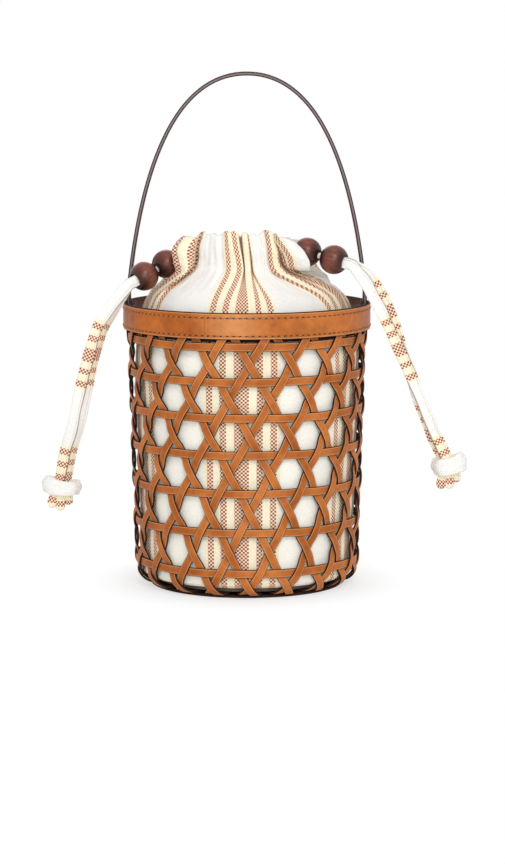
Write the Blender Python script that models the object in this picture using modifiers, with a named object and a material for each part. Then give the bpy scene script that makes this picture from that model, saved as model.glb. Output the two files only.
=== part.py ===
"""Bucket bag: a basket woven from leather strips, with a drawstring pouch inside it.

Lengths are in metres. +Z is up, the front faces -Y and +X is to the right.
The origin is the middle of the underside. Plan angles start at the front and grow towards +X.
"""
import math

import bmesh
import bpy
from mathutils import Matrix, Vector

# Fits
CLEARANCE = 0.0003
BORE_CLEARANCE = 0.0006
MERGE_DISTANCE = 0.000001
SHARP_ANGLE = math.radians(40)

# Basket
BASKET_HEIGHT = 0.204
RIM_RADIUS = 0.089
RIM_HEIGHT = 0.0185
RIM_LEATHER = 0.0017
FACING_LEATHER = 0.0013
CORE_INSET = 0.001
WALL_TAPER = math.radians(1.75)
CORNER_RADIUS = 0.012
RING_SEGMENTS = 54

# Woven strips
STRIP_WIDTH = 0.006
STRIP_THICKNESS = 0.0014
HOOP_COUNT = 7
STRIPS_EACH_WAY = 18
HOOP_DROP = 0.0055
LOWEST_HOOP = 0.0192
ROW_GROWTH = 0.00084
RIM_TUCK = 0.0045
BASE_TUCK = 0.007
FIRST_STRIP_ANGLE = math.radians(-3.5)
FIRST_STRIP_ROW = 2
CORNER_STEPS = 6

# Base
COVER_THICKNESS = 0.0018
COVER_RADIUS = 0.070
BOARD_THICKNESS = 0.0025
BOARD_RADIUS = 0.065

# Handle
STRAP_WIDTH = 0.015
STRAP_THICKNESS = 0.0032
STRAP_STUB = 0.002
TAB_DEPTH = 0.0125
HANDLE_RISE = 0.1635
HANDLE_LEG = 0.050
HANDLE_LEAN = 0.0055
HANDLE_CROWN = 0.0637
STRAP_STEPS = 14
STRAP_END_STEPS = 4

# Pouch
CLOTH_THICKNESS = 0.0012
POUCH_SEGMENTS = 40
POUCH_LEAVES_WALL = 0.018
POUCH_RIM_GAP = 0.0075
NECK_RADIUS = 0.049
NECK_GATHER = 0.010
NECK_RISE = 0.024
CASING_HEIGHT = 0.027
CASING_ROUND = 0.0025
SHOULDER_STEPS = 4

# Beads and drawstrings
BEAD_DIAMETER = 0.0206
BEAD_BORE = 0.0100
BEAD_SEGMENTS = 16
BEAD_ARC_STEPS = 8
BEAD_STANDOFF = 0.0015
BEAD_TRAVEL = 0.004
CORD_DIAMETER = 0.0085
CORD_HIDDEN = 0.009
CORD_STEP = 0.013
KNOT_LENGTH = 0.015
KNOT_WIDTH = 0.026
KNOT_DEPTH = 0.017
KNOT_END_DIAMETER = 0.007
KNOT_END_LENGTH = 0.018
KNOT_END_SPREAD = math.radians(24)
KNOT_SEGMENTS = 16
KNOT_RINGS = 10

# Each drawstring: where its inner bead sits against the casing (a plan angle, and a height over the
# casing's lower edge), the way it points there, and the points of its free tail down to its knot.
DRAWSTRINGS = {
    "left": {
        "seat_angle": math.radians(-70.8),
        "seat_rise": 0.0049,
        "heading": math.radians(-52.3),
        "dip": math.radians(21.7),
        "tail": [
            (-0.0905, -0.0440, 0.2095), (-0.0955, -0.0452, 0.2020), (-0.1037, -0.0465, 0.1880),
            (-0.1099, -0.0470, 0.1670), (-0.1156, -0.0470, 0.1455), (-0.1217, -0.0470, 0.1170),
            (-0.1262, -0.0470, 0.1025), (-0.1290, -0.0470, 0.0885),
        ],
    },
    "right": {
        "seat_angle": math.radians(44.5),
        "seat_rise": 0.0152,
        "heading": math.radians(66.5),
        "dip": math.radians(13.0),
        "tail": [
            (0.0840, -0.0595, 0.2265), (0.0905, -0.0600, 0.2150), (0.0970, -0.0600, 0.2030),
            (0.1068, -0.0600, 0.1795), (0.1154, -0.0600, 0.1580), (0.1235, -0.0600, 0.1366),
            (0.1318, -0.0600, 0.1160), (0.1370, -0.0600, 0.1050),
        ],
    },
}

# Worked out from the sizes above
LAYER = STRIP_THICKNESS + CLEARANCE
RIM_BOTTOM = BASKET_HEIGHT - RIM_HEIGHT
TOP_HOOP = RIM_BOTTOM - HOOP_DROP
WALL_RADIUS = RIM_RADIUS - RIM_LEATHER - CLEARANCE - STRIP_THICKNESS / 2 - LAYER
FACING_RADIUS = WALL_RADIUS - LAYER - STRIP_THICKNESS / 2 - CLEARANCE
BASE_LEVEL = COVER_THICKNESS + CLEARANCE + STRIP_THICKNESS / 2
BOARD_BOTTOM = BASE_LEVEL + STRIP_THICKNESS / 2 + CLEARANCE
BOARD_TOP = BOARD_BOTTOM + BOARD_THICKNESS
FIRST_PITCH = (TOP_HOOP - LOWEST_HOOP) / (HOOP_COUNT - 1) - ROW_GROWTH * (HOOP_COUNT - 2) / 2
STRIP_PITCH = 2 * math.pi / STRIPS_EACH_WAY
ROW_TURN = STRIP_PITCH / 2
BASE_ROW = HOOP_COUNT + 1
CORNER_TOP = BASE_LEVEL + CORNER_RADIUS * (1 - math.sin(WALL_TAPER))
TAPER_LENGTH = (TOP_HOOP - CORNER_TOP) / math.cos(WALL_TAPER)
CORNER_CENTRE = WALL_RADIUS - TAPER_LENGTH * math.sin(WALL_TAPER) - CORNER_RADIUS * math.cos(WALL_TAPER)
CORNER_END = TAPER_LENGTH + CORNER_RADIUS * (math.pi / 2 - WALL_TAPER)
FACET_INSET = math.cos(math.pi / RING_SEGMENTS)
STRAP_SEAT = (RIM_RADIUS - RIM_LEATHER) * FACET_INSET
STRAP_X = math.sqrt(STRAP_SEAT ** 2 - (STRAP_WIDTH / 2) ** 2) - CLEARANCE - STRAP_THICKNESS / 2
TAB_TOP = BASKET_HEIGHT + STRAP_STUB
TAB_BOTTOM = BASKET_HEIGHT - TAB_DEPTH
PIVOT_HEIGHT = TAB_TOP + CLEARANCE + STRAP_WIDTH / 2
HANDLE_TOP = BASKET_HEIGHT + HANDLE_RISE
POUCH_INSET = LAYER + STRIP_THICKNESS / 2 + CLEARANCE
POUCH_FLOOR = BOARD_TOP + CLEARANCE
NECK_BOTTOM = BASKET_HEIGHT + NECK_RISE
NECK_TOP = NECK_BOTTOM + CASING_HEIGHT
BEAD_PITCH = BEAD_DIAMETER + CLEARANCE

TAN_LEATHER = (0.52, 0.15, 0.03)
DARK_LEATHER = (0.045, 0.018, 0.012)
CANVAS = (0.86, 0.82, 0.74)
WALNUT = (0.06, 0.02, 0.014)
BOARD_GREY = (0.20, 0.17, 0.14)

for old in list(bpy.data.objects):
    bpy.data.objects.remove(old)
parts = bpy.data.collections.new("bucket_bag")
cutters = bpy.data.collections.new("bucket_bag_cutters")
bpy.context.scene.collection.children.link(parts)
bpy.context.scene.collection.children.link(cutters)


def material(name, colour, roughness):
    """A plain Principled material with the part's colour and roughness."""
    made = bpy.data.materials.new(name)
    made.use_nodes = True
    shader = made.node_tree.nodes["Principled BSDF"]
    shader.inputs["Base Color"].default_value = (*colour, 1.0)
    shader.inputs["Roughness"].default_value = roughness
    shader.inputs["Metallic"].default_value = 0.0
    return made


def add_part(name, mesh, finish, parent=None):
    """One named sub-part, in the bag's collection, at its parent's place if it has one."""
    part = bpy.data.objects.new(name, mesh)
    mesh.materials.append(finish)
    parts.objects.link(part)
    part.parent = parent
    return part


def add_empty(name, location):
    """An empty on a joint's axis, which carries the pieces that move there."""
    empty = bpy.data.objects.new(name, None)
    empty.location = location
    empty.empty_display_size = 0.01
    parts.objects.link(empty)
    return empty


def thicken(part, thickness):
    """Give an open surface its thickness, half to each side."""
    solid = part.modifiers.new("thickness", "SOLIDIFY")
    solid.thickness = thickness
    solid.offset = 0.0
    solid.use_even_offset = True


def cut(part, cutter):
    """Cut one shape out of a part, and keep the cutter as a guide."""
    cutter.hide_render = True
    cutter.display_type = "WIRE"
    boolean = part.modifiers.new("cut_" + cutter.name, "BOOLEAN")
    boolean.operation = "DIFFERENCE"
    boolean.solver = "EXACT"
    boolean.object = cutter


def join(part, other):
    """Join another closed shape to a part, and keep that shape as a guide."""
    cut(part, other)
    part.modifiers[-1].operation = "UNION"


def add_cutter(name, mesh, matrix):
    """A shape that only cuts or joins."""
    cutter = bpy.data.objects.new(name, mesh)
    cutter.matrix_world = matrix
    cutters.objects.link(cutter)
    return cutter


def mesh_from(name, build):
    """A mesh filled by a function that works on a bmesh."""
    mesh = bpy.data.meshes.new(name)
    work = bmesh.new()
    build(work)
    work.to_mesh(mesh)
    work.free()
    return mesh


def box_mesh(name, size):
    """A box of a given size around its own middle."""
    def build(work):
        bmesh.ops.create_cube(work, size=1.0)
        bmesh.ops.scale(work, vec=size, verts=work.verts)
    return mesh_from(name, build)


def cylinder_mesh(name, radius, height, segments):
    """A closed cylinder along Z around its own middle."""
    def build(work):
        bmesh.ops.create_cone(
            work, cap_ends=True, segments=segments, radius1=radius, radius2=radius, depth=height)
    return mesh_from(name, build)


def band_mesh(name, low, high):
    """An open band between two circles, each a radius and a height."""
    def build(work):
        bmesh.ops.create_cone(
            work, cap_ends=False, segments=RING_SEGMENTS,
            radius1=low[0], radius2=high[0], depth=high[1] - low[1])
        bmesh.ops.translate(work, vec=(0.0, 0.0, (low[1] + high[1]) / 2), verts=work.verts)
    return mesh_from(name, build)


def ribbon_mesh(name, edges):
    """An open ribbon: a grid two points wide, with each row moved to its pair of edge points."""
    last = len(edges) - 1

    def build(work):
        bmesh.ops.create_grid(work, x_segments=1, y_segments=last, size=1.0)
        for vertex in work.verts:
            row = round((vertex.co.y + 1.0) / 2.0 * last)
            vertex.co = edges[row][vertex.co.x > 0.0]
    return mesh_from(name, build)


def profile_mesh(name, points, closed):
    """A profile in the XZ plane, for turning about Z."""
    mesh = bpy.data.meshes.new(name)
    edges = [(i, i + 1) for i in range(len(points) - 1)]
    if closed:
        edges.append((len(points) - 1, 0))
    mesh.from_pydata([(radius, 0.0, height) for radius, height in points], edges, [])
    return mesh


def turn(part, segments):
    """Turn a profile once about Z."""
    screw = part.modifiers.new("turn", "SCREW")
    screw.steps = segments
    screw.render_steps = segments
    screw.use_merge_vertices = True
    screw.merge_threshold = MERGE_DISTANCE


def plan(angle, radius, height):
    """The point at a plan angle from the front, a radius and a height."""
    return Vector((radius * math.sin(angle), -radius * math.cos(angle), height))


def smooth_path(points, step):
    """Points about one step apart on a smooth curve (Catmull-Rom) through the given points."""
    path = []
    padded = [2 * points[0] - points[1], *points, 2 * points[-1] - points[-2]]
    for a, b, c, d in zip(padded, padded[1:], padded[2:], padded[3:]):
        count = max(1, round((c - b).length / step))
        for i in range(count):
            t = i / count
            path.append(b + 0.5 * t * (c - a + t * (2 * a - 5 * b + 4 * c - d
                                                    + t * (3 * b - 3 * c + d - a))))
    return [*path, points[-1]]


def wall(distance):
    """The basket's middle surface, a distance down from the top hoop: radius, height, normal."""
    if distance <= 0.0:
        return WALL_RADIUS, TOP_HOOP - distance, 1.0, 0.0
    if distance <= TAPER_LENGTH:
        side, up = math.sin(WALL_TAPER), math.cos(WALL_TAPER)
        return WALL_RADIUS - distance * side, TOP_HOOP - distance * up, up, -side
    angle = WALL_TAPER + (distance - TAPER_LENGTH) / CORNER_RADIUS
    if angle < math.pi / 2:
        out, down = math.cos(angle), math.sin(angle)
        return (CORNER_CENTRE + CORNER_RADIUS * out,
                BASE_LEVEL + CORNER_RADIUS * (1 - down), out, -down)
    return CORNER_CENTRE - (distance - CORNER_END), BASE_LEVEL, 0.0, -1.0


def wall_point(angle, distance, offset):
    """A point on the wall, moved out along the wall's normal."""
    radius, height, normal_out, normal_up = wall(distance)
    return plan(angle, radius + offset * normal_out, height + offset * normal_up)


def row_distance(row):
    """How far down the wall a weave row lies: row 1 is the top hoop, the base edge is one row past
    the last hoop, and the rows spread a little towards the bottom."""
    if row <= HOOP_COUNT:
        drop = FIRST_PITCH * (row - 1) + ROW_GROWTH * (row - 1) * (row - 2) / 2
        return drop / math.cos(WALL_TAPER)
    last = row_distance(HOOP_COUNT)
    return last + (row - HOOP_COUNT) * (CORNER_END - last)


def strip_course(row, lean):
    """How far a leaning strip moves round and down the wall for each row."""
    nudge = 0.01
    down = (row_distance(row + nudge) - row_distance(row - nudge)) / (2 * nudge)
    radius = wall(row_distance(row))[0]
    across = -lean * ROW_TURN * radius if row < BASE_ROW else 0.0
    return across, down


def crossing_reach(row):
    """Half the length, in rows, that a strip keeps flat where it crosses another at this row."""
    across, down = strip_course(row, 1)
    slope = math.atan2(down, abs(across))
    meets_hoop = abs(row - round(row)) < 0.25
    angle = slope if meets_hoop else math.pi - 2 * slope
    reach = STRIP_WIDTH / 2 / math.tan(min(angle, math.pi - angle) / 2) + CLEARANCE
    return reach / math.hypot(across, down)


def strip_levels(lean):
    """Where a leaning strip lies in or out, as (row, level) pairs. Right-leaning strips pass over
    the hoops and under the left-leaning strips, and left-leaning strips the other way about."""
    levels = [(1 - (HOOP_DROP + RIM_TUCK) / FIRST_PITCH, lean)]
    for half_row in range(2, 2 * BASE_ROW):
        row = half_row / 2
        level = lean if half_row % 2 == 0 else -lean / 2
        reach = crossing_reach(row)
        if half_row > 2:
            levels.append((row - reach, level))
        levels.append((row + reach, level))
    span = row_distance(BASE_ROW) - row_distance(HOOP_COUNT)
    levels.append((BASE_ROW, 0.0))
    levels.append((BASE_ROW + BASE_TUCK / span, 0.0))
    return levels


def level_at(levels, row):
    """The level at a row, straight between the pairs."""
    for (row_a, level_a), (row_b, level_b) in zip(levels, levels[1:]):
        if row_a <= row <= row_b:
            return level_a + (level_b - level_a) * (row - row_a) / (row_b - row_a)
    return levels[-1][1]


def strip_edges(start_angle, lean):
    """The two edges of a leaning strip, from inside the rim down to under the base."""
    levels = strip_levels(lean)
    last = row_distance(HOOP_COUNT)
    corner = [TAPER_LENGTH + (CORNER_END - TAPER_LENGTH) * i / CORNER_STEPS for i in range(CORNER_STEPS)]
    rows = [row for row, level in levels]
    least = STRIP_THICKNESS / (CORNER_END - last)
    for distance in corner:
        row = HOOP_COUNT + (distance - last) / (CORNER_END - last)
        if min(abs(row - other) for other in rows) > least:
            rows.append(row)
    edges = []
    for row in sorted(rows):
        across, down = strip_course(row, lean)
        half = STRIP_WIDTH / 2 / math.hypot(across, down)
        angle = start_angle - lean * ROW_TURN * (min(row, BASE_ROW) - FIRST_STRIP_ROW)
        distance = row_distance(row)
        offset = LAYER * level_at(levels, row)
        pair = []
        for side in (-1, 1):
            edge_distance = distance - side * half * across
            radius = wall(edge_distance)[0]
            pair.append(wall_point(angle + side * half * down / radius, edge_distance, offset))
        edges.append(pair)
    return edges


def make_hoops(finish):
    """The seven horizontal hoops of the weave."""
    for number in range(1, HOOP_COUNT + 1):
        name = f"hoop_{number}"
        middle = row_distance(number)
        low = wall(middle + STRIP_WIDTH / 2)
        high = wall(middle - STRIP_WIDTH / 2)
        thicken(add_part(name, band_mesh(name, low, high), finish), STRIP_THICKNESS)


def make_leaning_strips(finish):
    """The strips that lean right and left, half a pitch apart where they pass a hoop."""
    for word, lean, start in (("right", 1, 0.0), ("left", -1, STRIP_PITCH / 2)):
        for number in range(STRIPS_EACH_WAY):
            name = f"strip_{word}_{number + 1:02d}"
            edges = strip_edges(FIRST_STRIP_ANGLE + start + number * STRIP_PITCH, lean)
            thicken(add_part(name, ribbon_mesh(name, edges), finish), STRIP_THICKNESS)


def make_rim(tan, dark):
    """The outer band, the inner facing and the stiff core between them, notched for the strap."""
    outer = RIM_RADIUS - RIM_LEATHER / 2
    band = band_mesh("rim_band", (outer, RIM_BOTTOM), (outer, BASKET_HEIGHT))
    thicken(add_part("rim_band", band, tan), RIM_LEATHER)
    inner = FACING_RADIUS - FACING_LEATHER / 2
    facing = band_mesh("rim_facing", (inner, RIM_BOTTOM), (inner, BASKET_HEIGHT))
    thicken(add_part("rim_facing", facing, dark), FACING_LEATHER)
    core_low = (WALL_RADIUS, RIM_BOTTOM + CORE_INSET)
    core_high = (WALL_RADIUS, BASKET_HEIGHT - CORE_INSET)
    core = add_part("rim_core", band_mesh("rim_core", core_low, core_high), dark)
    thicken(core, STRIP_THICKNESS)
    notch_bottom = TAB_BOTTOM - CLEARANCE
    size = (2 * RIM_RADIUS, STRAP_WIDTH + 2 * CLEARANCE, BASKET_HEIGHT - notch_bottom)
    middle = Matrix.Translation((0.0, 0.0, (BASKET_HEIGHT + notch_bottom) / 2))
    cut(core, add_cutter("strap_notch", box_mesh("strap_notch", size), middle))


def make_base(dark, board):
    """The leather cover that the bag stands on, and the board above the strips' ends."""
    cover = cylinder_mesh("base_cover", COVER_RADIUS, COVER_THICKNESS, RING_SEGMENTS)
    add_part("base_cover", cover, dark).location.z = COVER_THICKNESS / 2
    disc = cylinder_mesh("base_board", BOARD_RADIUS, BOARD_THICKNESS, RING_SEGMENTS)
    add_part("base_board", disc, board).location.z = BOARD_BOTTOM + BOARD_THICKNESS / 2


def handle_curve(t):
    """The right half of the strap's middle line (a cubic Bezier), from the pivot to the top."""
    pivot = Vector((STRAP_X, 0.0, PIVOT_HEIGHT))
    leg = pivot + Vector((-HANDLE_LEAN, 0.0, HANDLE_LEG))
    crown = Vector((HANDLE_CROWN, 0.0, HANDLE_TOP))
    top = Vector((0.0, 0.0, HANDLE_TOP))
    s = 1 - t
    return s ** 3 * pivot + 3 * s * s * t * leg + 3 * s * t * t * crown + t ** 3 * top


def make_handle(tan):
    """The strap, which swings on its round lower ends, and its two tabs inside the rim."""
    pivot = add_empty("handle_pivot", (0.0, 0.0, PIVOT_HEIGHT))
    half = STRAP_WIDTH / 2
    side = []
    for i in range(STRAP_END_STEPS, 0, -1):
        angle = math.pi / 2 * (i - 0.25) / STRAP_END_STEPS
        side.append((STRAP_X, PIVOT_HEIGHT - half * math.sin(angle), half * math.cos(angle)))
    for i in range(STRAP_STEPS):
        point = handle_curve(i / STRAP_STEPS)
        side.append((point.x, point.z, half))
    rows = [(-x, z, w) for x, z, w in side] + [(0.0, HANDLE_TOP, half)] + side[::-1]
    edges = [[Vector((x, y, z - PIVOT_HEIGHT)) for y in (w, -w)] for x, z, w in rows]
    strap = add_part("handle_strap", ribbon_mesh("handle_strap", edges), tan, pivot)
    thicken(strap, STRAP_THICKNESS)
    size = (STRAP_THICKNESS, STRAP_WIDTH, TAB_TOP - TAB_BOTTOM)
    for word, sign in (("left", -1), ("right", 1)):
        tab = add_part(f"handle_tab_{word}", box_mesh(f"handle_tab_{word}", size), tan)
        tab.location = (sign * STRAP_X, 0.0, (TAB_TOP + TAB_BOTTOM) / 2)


def pouch_profile():
    """Inner floor, up the inside, over the gathered casing and down the outside, as (r, z)."""
    outside = [(0.0, POUCH_FLOOR)]
    corner = CORNER_RADIUS - POUCH_INSET
    corner_height = BASE_LEVEL + CORNER_RADIUS
    floor_angle = math.asin((corner_height - POUCH_FLOOR) / corner)
    for i in range(SHOULDER_STEPS):
        angle = floor_angle + (WALL_TAPER - floor_angle) * i / SHOULDER_STEPS
        outside.append((CORNER_CENTRE + corner * math.cos(angle),
                        corner_height - corner * math.sin(angle)))
    for distance in (TAPER_LENGTH, row_distance(HOOP_COUNT / 2)):
        radius, height, normal_out, normal_up = wall(distance)
        outside.append((radius - POUCH_INSET * normal_out, height - POUCH_INSET * normal_up))
    leaving = FACING_RADIUS - FACING_LEATHER - CLEARANCE
    rim_radius = leaving - POUCH_RIM_GAP
    outside.append((leaving, RIM_BOTTOM - POUCH_LEAVES_WALL))
    for i in range(SHOULDER_STEPS + 1):
        t = i / SHOULDER_STEPS
        outside.append((rim_radius + (NECK_RADIUS - rim_radius) * t, BASKET_HEIGHT + NECK_RISE * t))
    inside = [(0.0, POUCH_FLOOR + CLOTH_THICKNESS)]
    for radius, height in outside[1:-1]:
        inside.append((radius - CLOTH_THICKNESS, height + CLOTH_THICKNESS * (height < corner_height)))
    hole = NECK_RADIUS - NECK_GATHER
    inside.append((hole, NECK_BOTTOM))
    inside.append((hole, NECK_TOP - CASING_ROUND))
    inside.append((hole + CASING_ROUND, NECK_TOP))
    outside.append((NECK_RADIUS, NECK_TOP - CASING_ROUND))
    outside.append((NECK_RADIUS - CASING_ROUND, NECK_TOP))
    return inside + outside[::-1]


def make_pouch(cloth, threads):
    """The canvas pouch, with a passage through its casing for each drawstring."""
    pouch = add_part("pouch", profile_mesh("pouch", pouch_profile(), closed=False), cloth)
    turn(pouch, POUCH_SEGMENTS)
    for word, thread in threads.items():
        name = f"passage_{word}"
        radius = CORD_DIAMETER / 2 + BORE_CLEARANCE
        length = 2 * (NECK_GATHER + BEAD_DIAMETER)
        cutter = cylinder_mesh(name, radius, length, BEAD_SEGMENTS)
        cut(pouch, add_cutter(name, cutter, aim(thread["seat"], thread["way"])))


def aim(point, way):
    """The placement that stands a piece at a point with its Z along a direction."""
    return Matrix.Translation(point) @ way.to_track_quat("Z", "Y").to_matrix().to_4x4()


def drawstring_threads():
    """Each drawstring's straight stretch: the inner bead's middle, the direction and the beads."""
    threads = {}
    seat_radius = NECK_RADIUS + BEAD_STANDOFF + BEAD_DIAMETER / 2
    for word, route in DRAWSTRINGS.items():
        seat = plan(route["seat_angle"], seat_radius, NECK_BOTTOM + route["seat_rise"])
        way = plan(route["heading"], math.cos(route["dip"]), -math.sin(route["dip"]))
        threads[word] = {
            "seat": seat,
            "way": way,
            "start": seat - way * (BEAD_DIAMETER / 2 + BEAD_STANDOFF + CORD_HIDDEN),
            "bend": seat + way * (1.5 * BEAD_DIAMETER + CLEARANCE + BEAD_TRAVEL + CLEARANCE),
            "tail": [Vector(point) for point in route["tail"]],
        }
    return threads


def make_beads(wood, threads):
    """Two turned wooden beads on each drawstring, each about its own bore."""
    radius, bore = BEAD_DIAMETER / 2, BEAD_BORE / 2
    limit = math.acos(bore / radius)
    profile = []
    for i in range(BEAD_ARC_STEPS + 1):
        angle = limit - 2 * limit * i / BEAD_ARC_STEPS
        profile.append((radius * math.cos(angle), radius * math.sin(angle)))
    for word, thread in threads.items():
        for place, steps in (("inner", 0), ("outer", 1)):
            name = f"bead_{word}_{place}"
            bead = add_part(name, profile_mesh(name, profile, closed=True), wood)
            turn(bead, BEAD_SEGMENTS)
            bead.matrix_world = aim(thread["seat"] + steps * BEAD_PITCH * thread["way"], thread["way"])


def make_drawstring(word, thread, cloth):
    """One drawstring: a straight stretch through its beads, a free tail and the knot."""
    guide = add_empty(f"drawstring_{word}_guide", thread["seat"])
    straight = (thread["bend"] - thread["start"]).length
    count = round(straight / CORD_STEP)
    points = [thread["start"].lerp(thread["bend"], i / count) for i in range(count)]
    points += smooth_path([thread["bend"], *thread["tail"]], CORD_STEP)
    curve = bpy.data.curves.new(f"drawstring_{word}", "CURVE")
    curve.dimensions = "3D"
    curve.bevel_depth = CORD_DIAMETER / 2
    curve.bevel_resolution = 2
    curve.use_fill_caps = True
    spline = curve.splines.new("POLY")
    spline.points.add(len(points) - 1)
    for control, point in zip(spline.points, points):
        control.co = (*(point - thread["seat"]), 1.0)
    add_part(f"drawstring_{word}", curve, cloth, guide)
    way = (points[-1] - points[-2]).normalized()
    middle = points[-1] + way * (KNOT_LENGTH / 2 + CLEARANCE)
    make_knot(word, guide, aim(middle, way), cloth)


def make_knot(word, guide, placement, cloth):
    """The knot: a flattened ball, with the pair's two cut ends below it."""
    def build(work):
        bmesh.ops.create_uvsphere(work, u_segments=KNOT_SEGMENTS, v_segments=KNOT_RINGS, radius=0.5)
        bmesh.ops.scale(work, vec=(KNOT_DEPTH, KNOT_WIDTH, KNOT_LENGTH), verts=work.verts)
    name = f"knot_{word}"
    knot = add_part(name, mesh_from(name, build), cloth, guide)
    knot.matrix_local = Matrix.Translation(-guide.location) @ placement
    for side, sign in (("a", -1), ("b", 1)):
        lean = Matrix.Rotation(sign * KNOT_END_SPREAD, 4, "X")
        drop = Matrix.Translation((0.0, 0.0, KNOT_END_LENGTH / 2))
        end = f"{name}_end_{side}"
        tube = cylinder_mesh(end, KNOT_END_DIAMETER / 2, KNOT_END_LENGTH, KNOT_RINGS)
        join(knot, add_cutter(end, tube, placement @ lean @ drop))


def settle():
    """Turn every part into a plain mesh, with round faces smooth and corners sharp."""
    bpy.context.view_layer.update()
    graph = bpy.context.evaluated_depsgraph_get()
    for part in [item for item in parts.objects if item.type in {"MESH", "CURVE"}]:
        mesh = bpy.data.meshes.new_from_object(part.evaluated_get(graph))
        work = bmesh.new()
        work.from_mesh(mesh)
        bmesh.ops.remove_doubles(work, verts=work.verts, dist=MERGE_DISTANCE)
        work.to_mesh(mesh)
        work.free()
        mesh.shade_smooth()
        mesh.set_sharp_from_angle(angle=SHARP_ANGLE)
        solid = bpy.data.objects.new(part.name, mesh)
        name = part.name
        solid.parent = part.parent
        solid.matrix_local = part.matrix_local
        bpy.data.objects.remove(part)
        solid.name = name
        parts.objects.link(solid)


def main():
    """Build the bag from the base up."""
    tan = material("tan_leather", TAN_LEATHER, 0.45)
    dark = material("dark_leather", DARK_LEATHER, 0.5)
    canvas = material("striped_canvas", CANVAS, 0.9)
    walnut = material("walnut", WALNUT, 0.35)
    board = material("board", BOARD_GREY, 0.8)
    threads = drawstring_threads()
    make_base(dark, board)
    make_hoops(tan)
    make_leaning_strips(tan)
    make_rim(tan, dark)
    make_handle(tan)
    make_pouch(canvas, threads)
    make_beads(walnut, threads)
    for word, thread in threads.items():
        make_drawstring(word, thread, canvas)
    settle()


main()
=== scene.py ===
# %% [markdown]
# # A woven bucket bag, dressed for a picture
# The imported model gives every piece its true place: a basket of leather strips woven on three axes, a
# stitched rim, a strap handle, and a canvas pouch that two beaded drawstrings close. Here each piece
# gets the surface that the eye expects. The frame itself is never moved.

import bpy
import numpy as np
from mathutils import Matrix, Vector


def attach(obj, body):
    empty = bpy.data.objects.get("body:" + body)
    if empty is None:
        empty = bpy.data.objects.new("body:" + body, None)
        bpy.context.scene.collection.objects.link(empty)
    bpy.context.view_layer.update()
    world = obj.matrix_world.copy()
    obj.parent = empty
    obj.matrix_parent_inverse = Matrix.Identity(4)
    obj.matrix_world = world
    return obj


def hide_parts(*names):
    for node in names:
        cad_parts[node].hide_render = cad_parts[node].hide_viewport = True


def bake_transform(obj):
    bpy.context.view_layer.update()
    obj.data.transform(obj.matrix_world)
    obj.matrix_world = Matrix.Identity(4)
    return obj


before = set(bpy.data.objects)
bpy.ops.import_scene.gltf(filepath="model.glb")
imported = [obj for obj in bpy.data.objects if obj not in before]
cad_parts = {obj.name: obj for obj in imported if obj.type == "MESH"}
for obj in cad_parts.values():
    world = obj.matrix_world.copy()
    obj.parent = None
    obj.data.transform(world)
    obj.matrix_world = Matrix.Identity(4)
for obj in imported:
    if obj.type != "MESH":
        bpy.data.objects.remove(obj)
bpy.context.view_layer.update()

# %% [markdown]
# ## Two tools for every piece
# Almost every piece here is a grid: a profile carried along a path, or a surface of two parameters.
# One function turns such a grid of points into a mesh. It could be done with curve bevels, but a grid
# lets us store what each point is (face, edge, distance along the strip), and the materials can then
# follow the piece and not the room.

# %% Grids to meshes
MM = 0.001


def smooth_step(low, high, value):
    """0 below low, 1 above high, and an S-shaped rise between them."""
    share = np.clip((value - low) / (high - low), 0.0, 1.0)
    return share * share * (3.0 - 2.0 * share)


def unit(vectors):
    """Each vector divided by its length."""
    return vectors / np.linalg.norm(vectors, axis=-1, keepdims=True)


def add_surface(name, points, wrap=(False, False), caps=False, uv=None, **marks):
    """One mesh from a grid of points, or from several grids of one size.

    points is (..., rows, columns, 3). wrap joins the last row or column to the first, caps closes
    the two end rows, uv has one more row or column where the grid wraps, and each mark is a number
    for every point. A closed grid whose volume comes out negative is turned the right way round.
    """
    grids = points.reshape((-1,) + points.shape[-3:])
    copies, rows, columns = grids.shape[:3]
    row_count, column_count = rows - (not wrap[0]), columns - (not wrap[1])
    k, i, j = np.meshgrid(np.arange(copies), np.arange(row_count), np.arange(column_count), indexing="ij")
    steps = np.array([(0, 0), (0, 1), (1, 1), (1, 0)])
    row, column = i[..., None] + steps[:, 0], j[..., None] + steps[:, 1]
    corners = ((k[..., None] * rows + row % rows) * columns + column % columns).reshape(-1, 4)
    flat = grids.reshape(-1, 3)
    a, b, c, d = (flat[corners[:, n]] for n in range(4))
    volume = np.einsum("ij,ij->", a, np.cross(b, c) + np.cross(c, d))
    inside_out = (caps or all(wrap)) and volume < 0.0
    if inside_out:
        corners = corners[:, ::-1]
    faces = corners.tolist()
    if caps:
        first = np.arange(columns)
        ends = [first[::-1], first + (rows - 1) * columns]
        for copy in range(copies):
            for end in ends:
                loop = end + copy * rows * columns
                faces.append((loop[::-1] if inside_out else loop).tolist())
    mesh = bpy.data.meshes.new(name)
    mesh.from_pydata(flat.tolist(), [], faces)
    if uv is not None:
        sheet_uv = np.broadcast_to(uv, (copies,) + uv.shape[-3:])
        loops = sheet_uv[k[..., None], row, column].reshape(-1, 4, 2)
        loops = loops[:, ::-1] if inside_out else loops
        values = np.zeros((len(mesh.loops), 2), np.float32)
        values[:loops.shape[0] * 4] = loops.reshape(-1, 2)
        mesh.uv_layers.new(name="cloth").data.foreach_set("uv", values.ravel())
    for mark, value in marks.items():
        layer = mesh.attributes.new(mark, "FLOAT", "POINT")
        spread = np.broadcast_to(value, (copies, rows, columns)).astype(np.float32)
        layer.data.foreach_set("value", spread.ravel())
    mesh.shade_smooth()
    piece = bpy.data.objects.new(name, mesh)
    bpy.context.scene.collection.objects.link(piece)
    return piece


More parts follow.
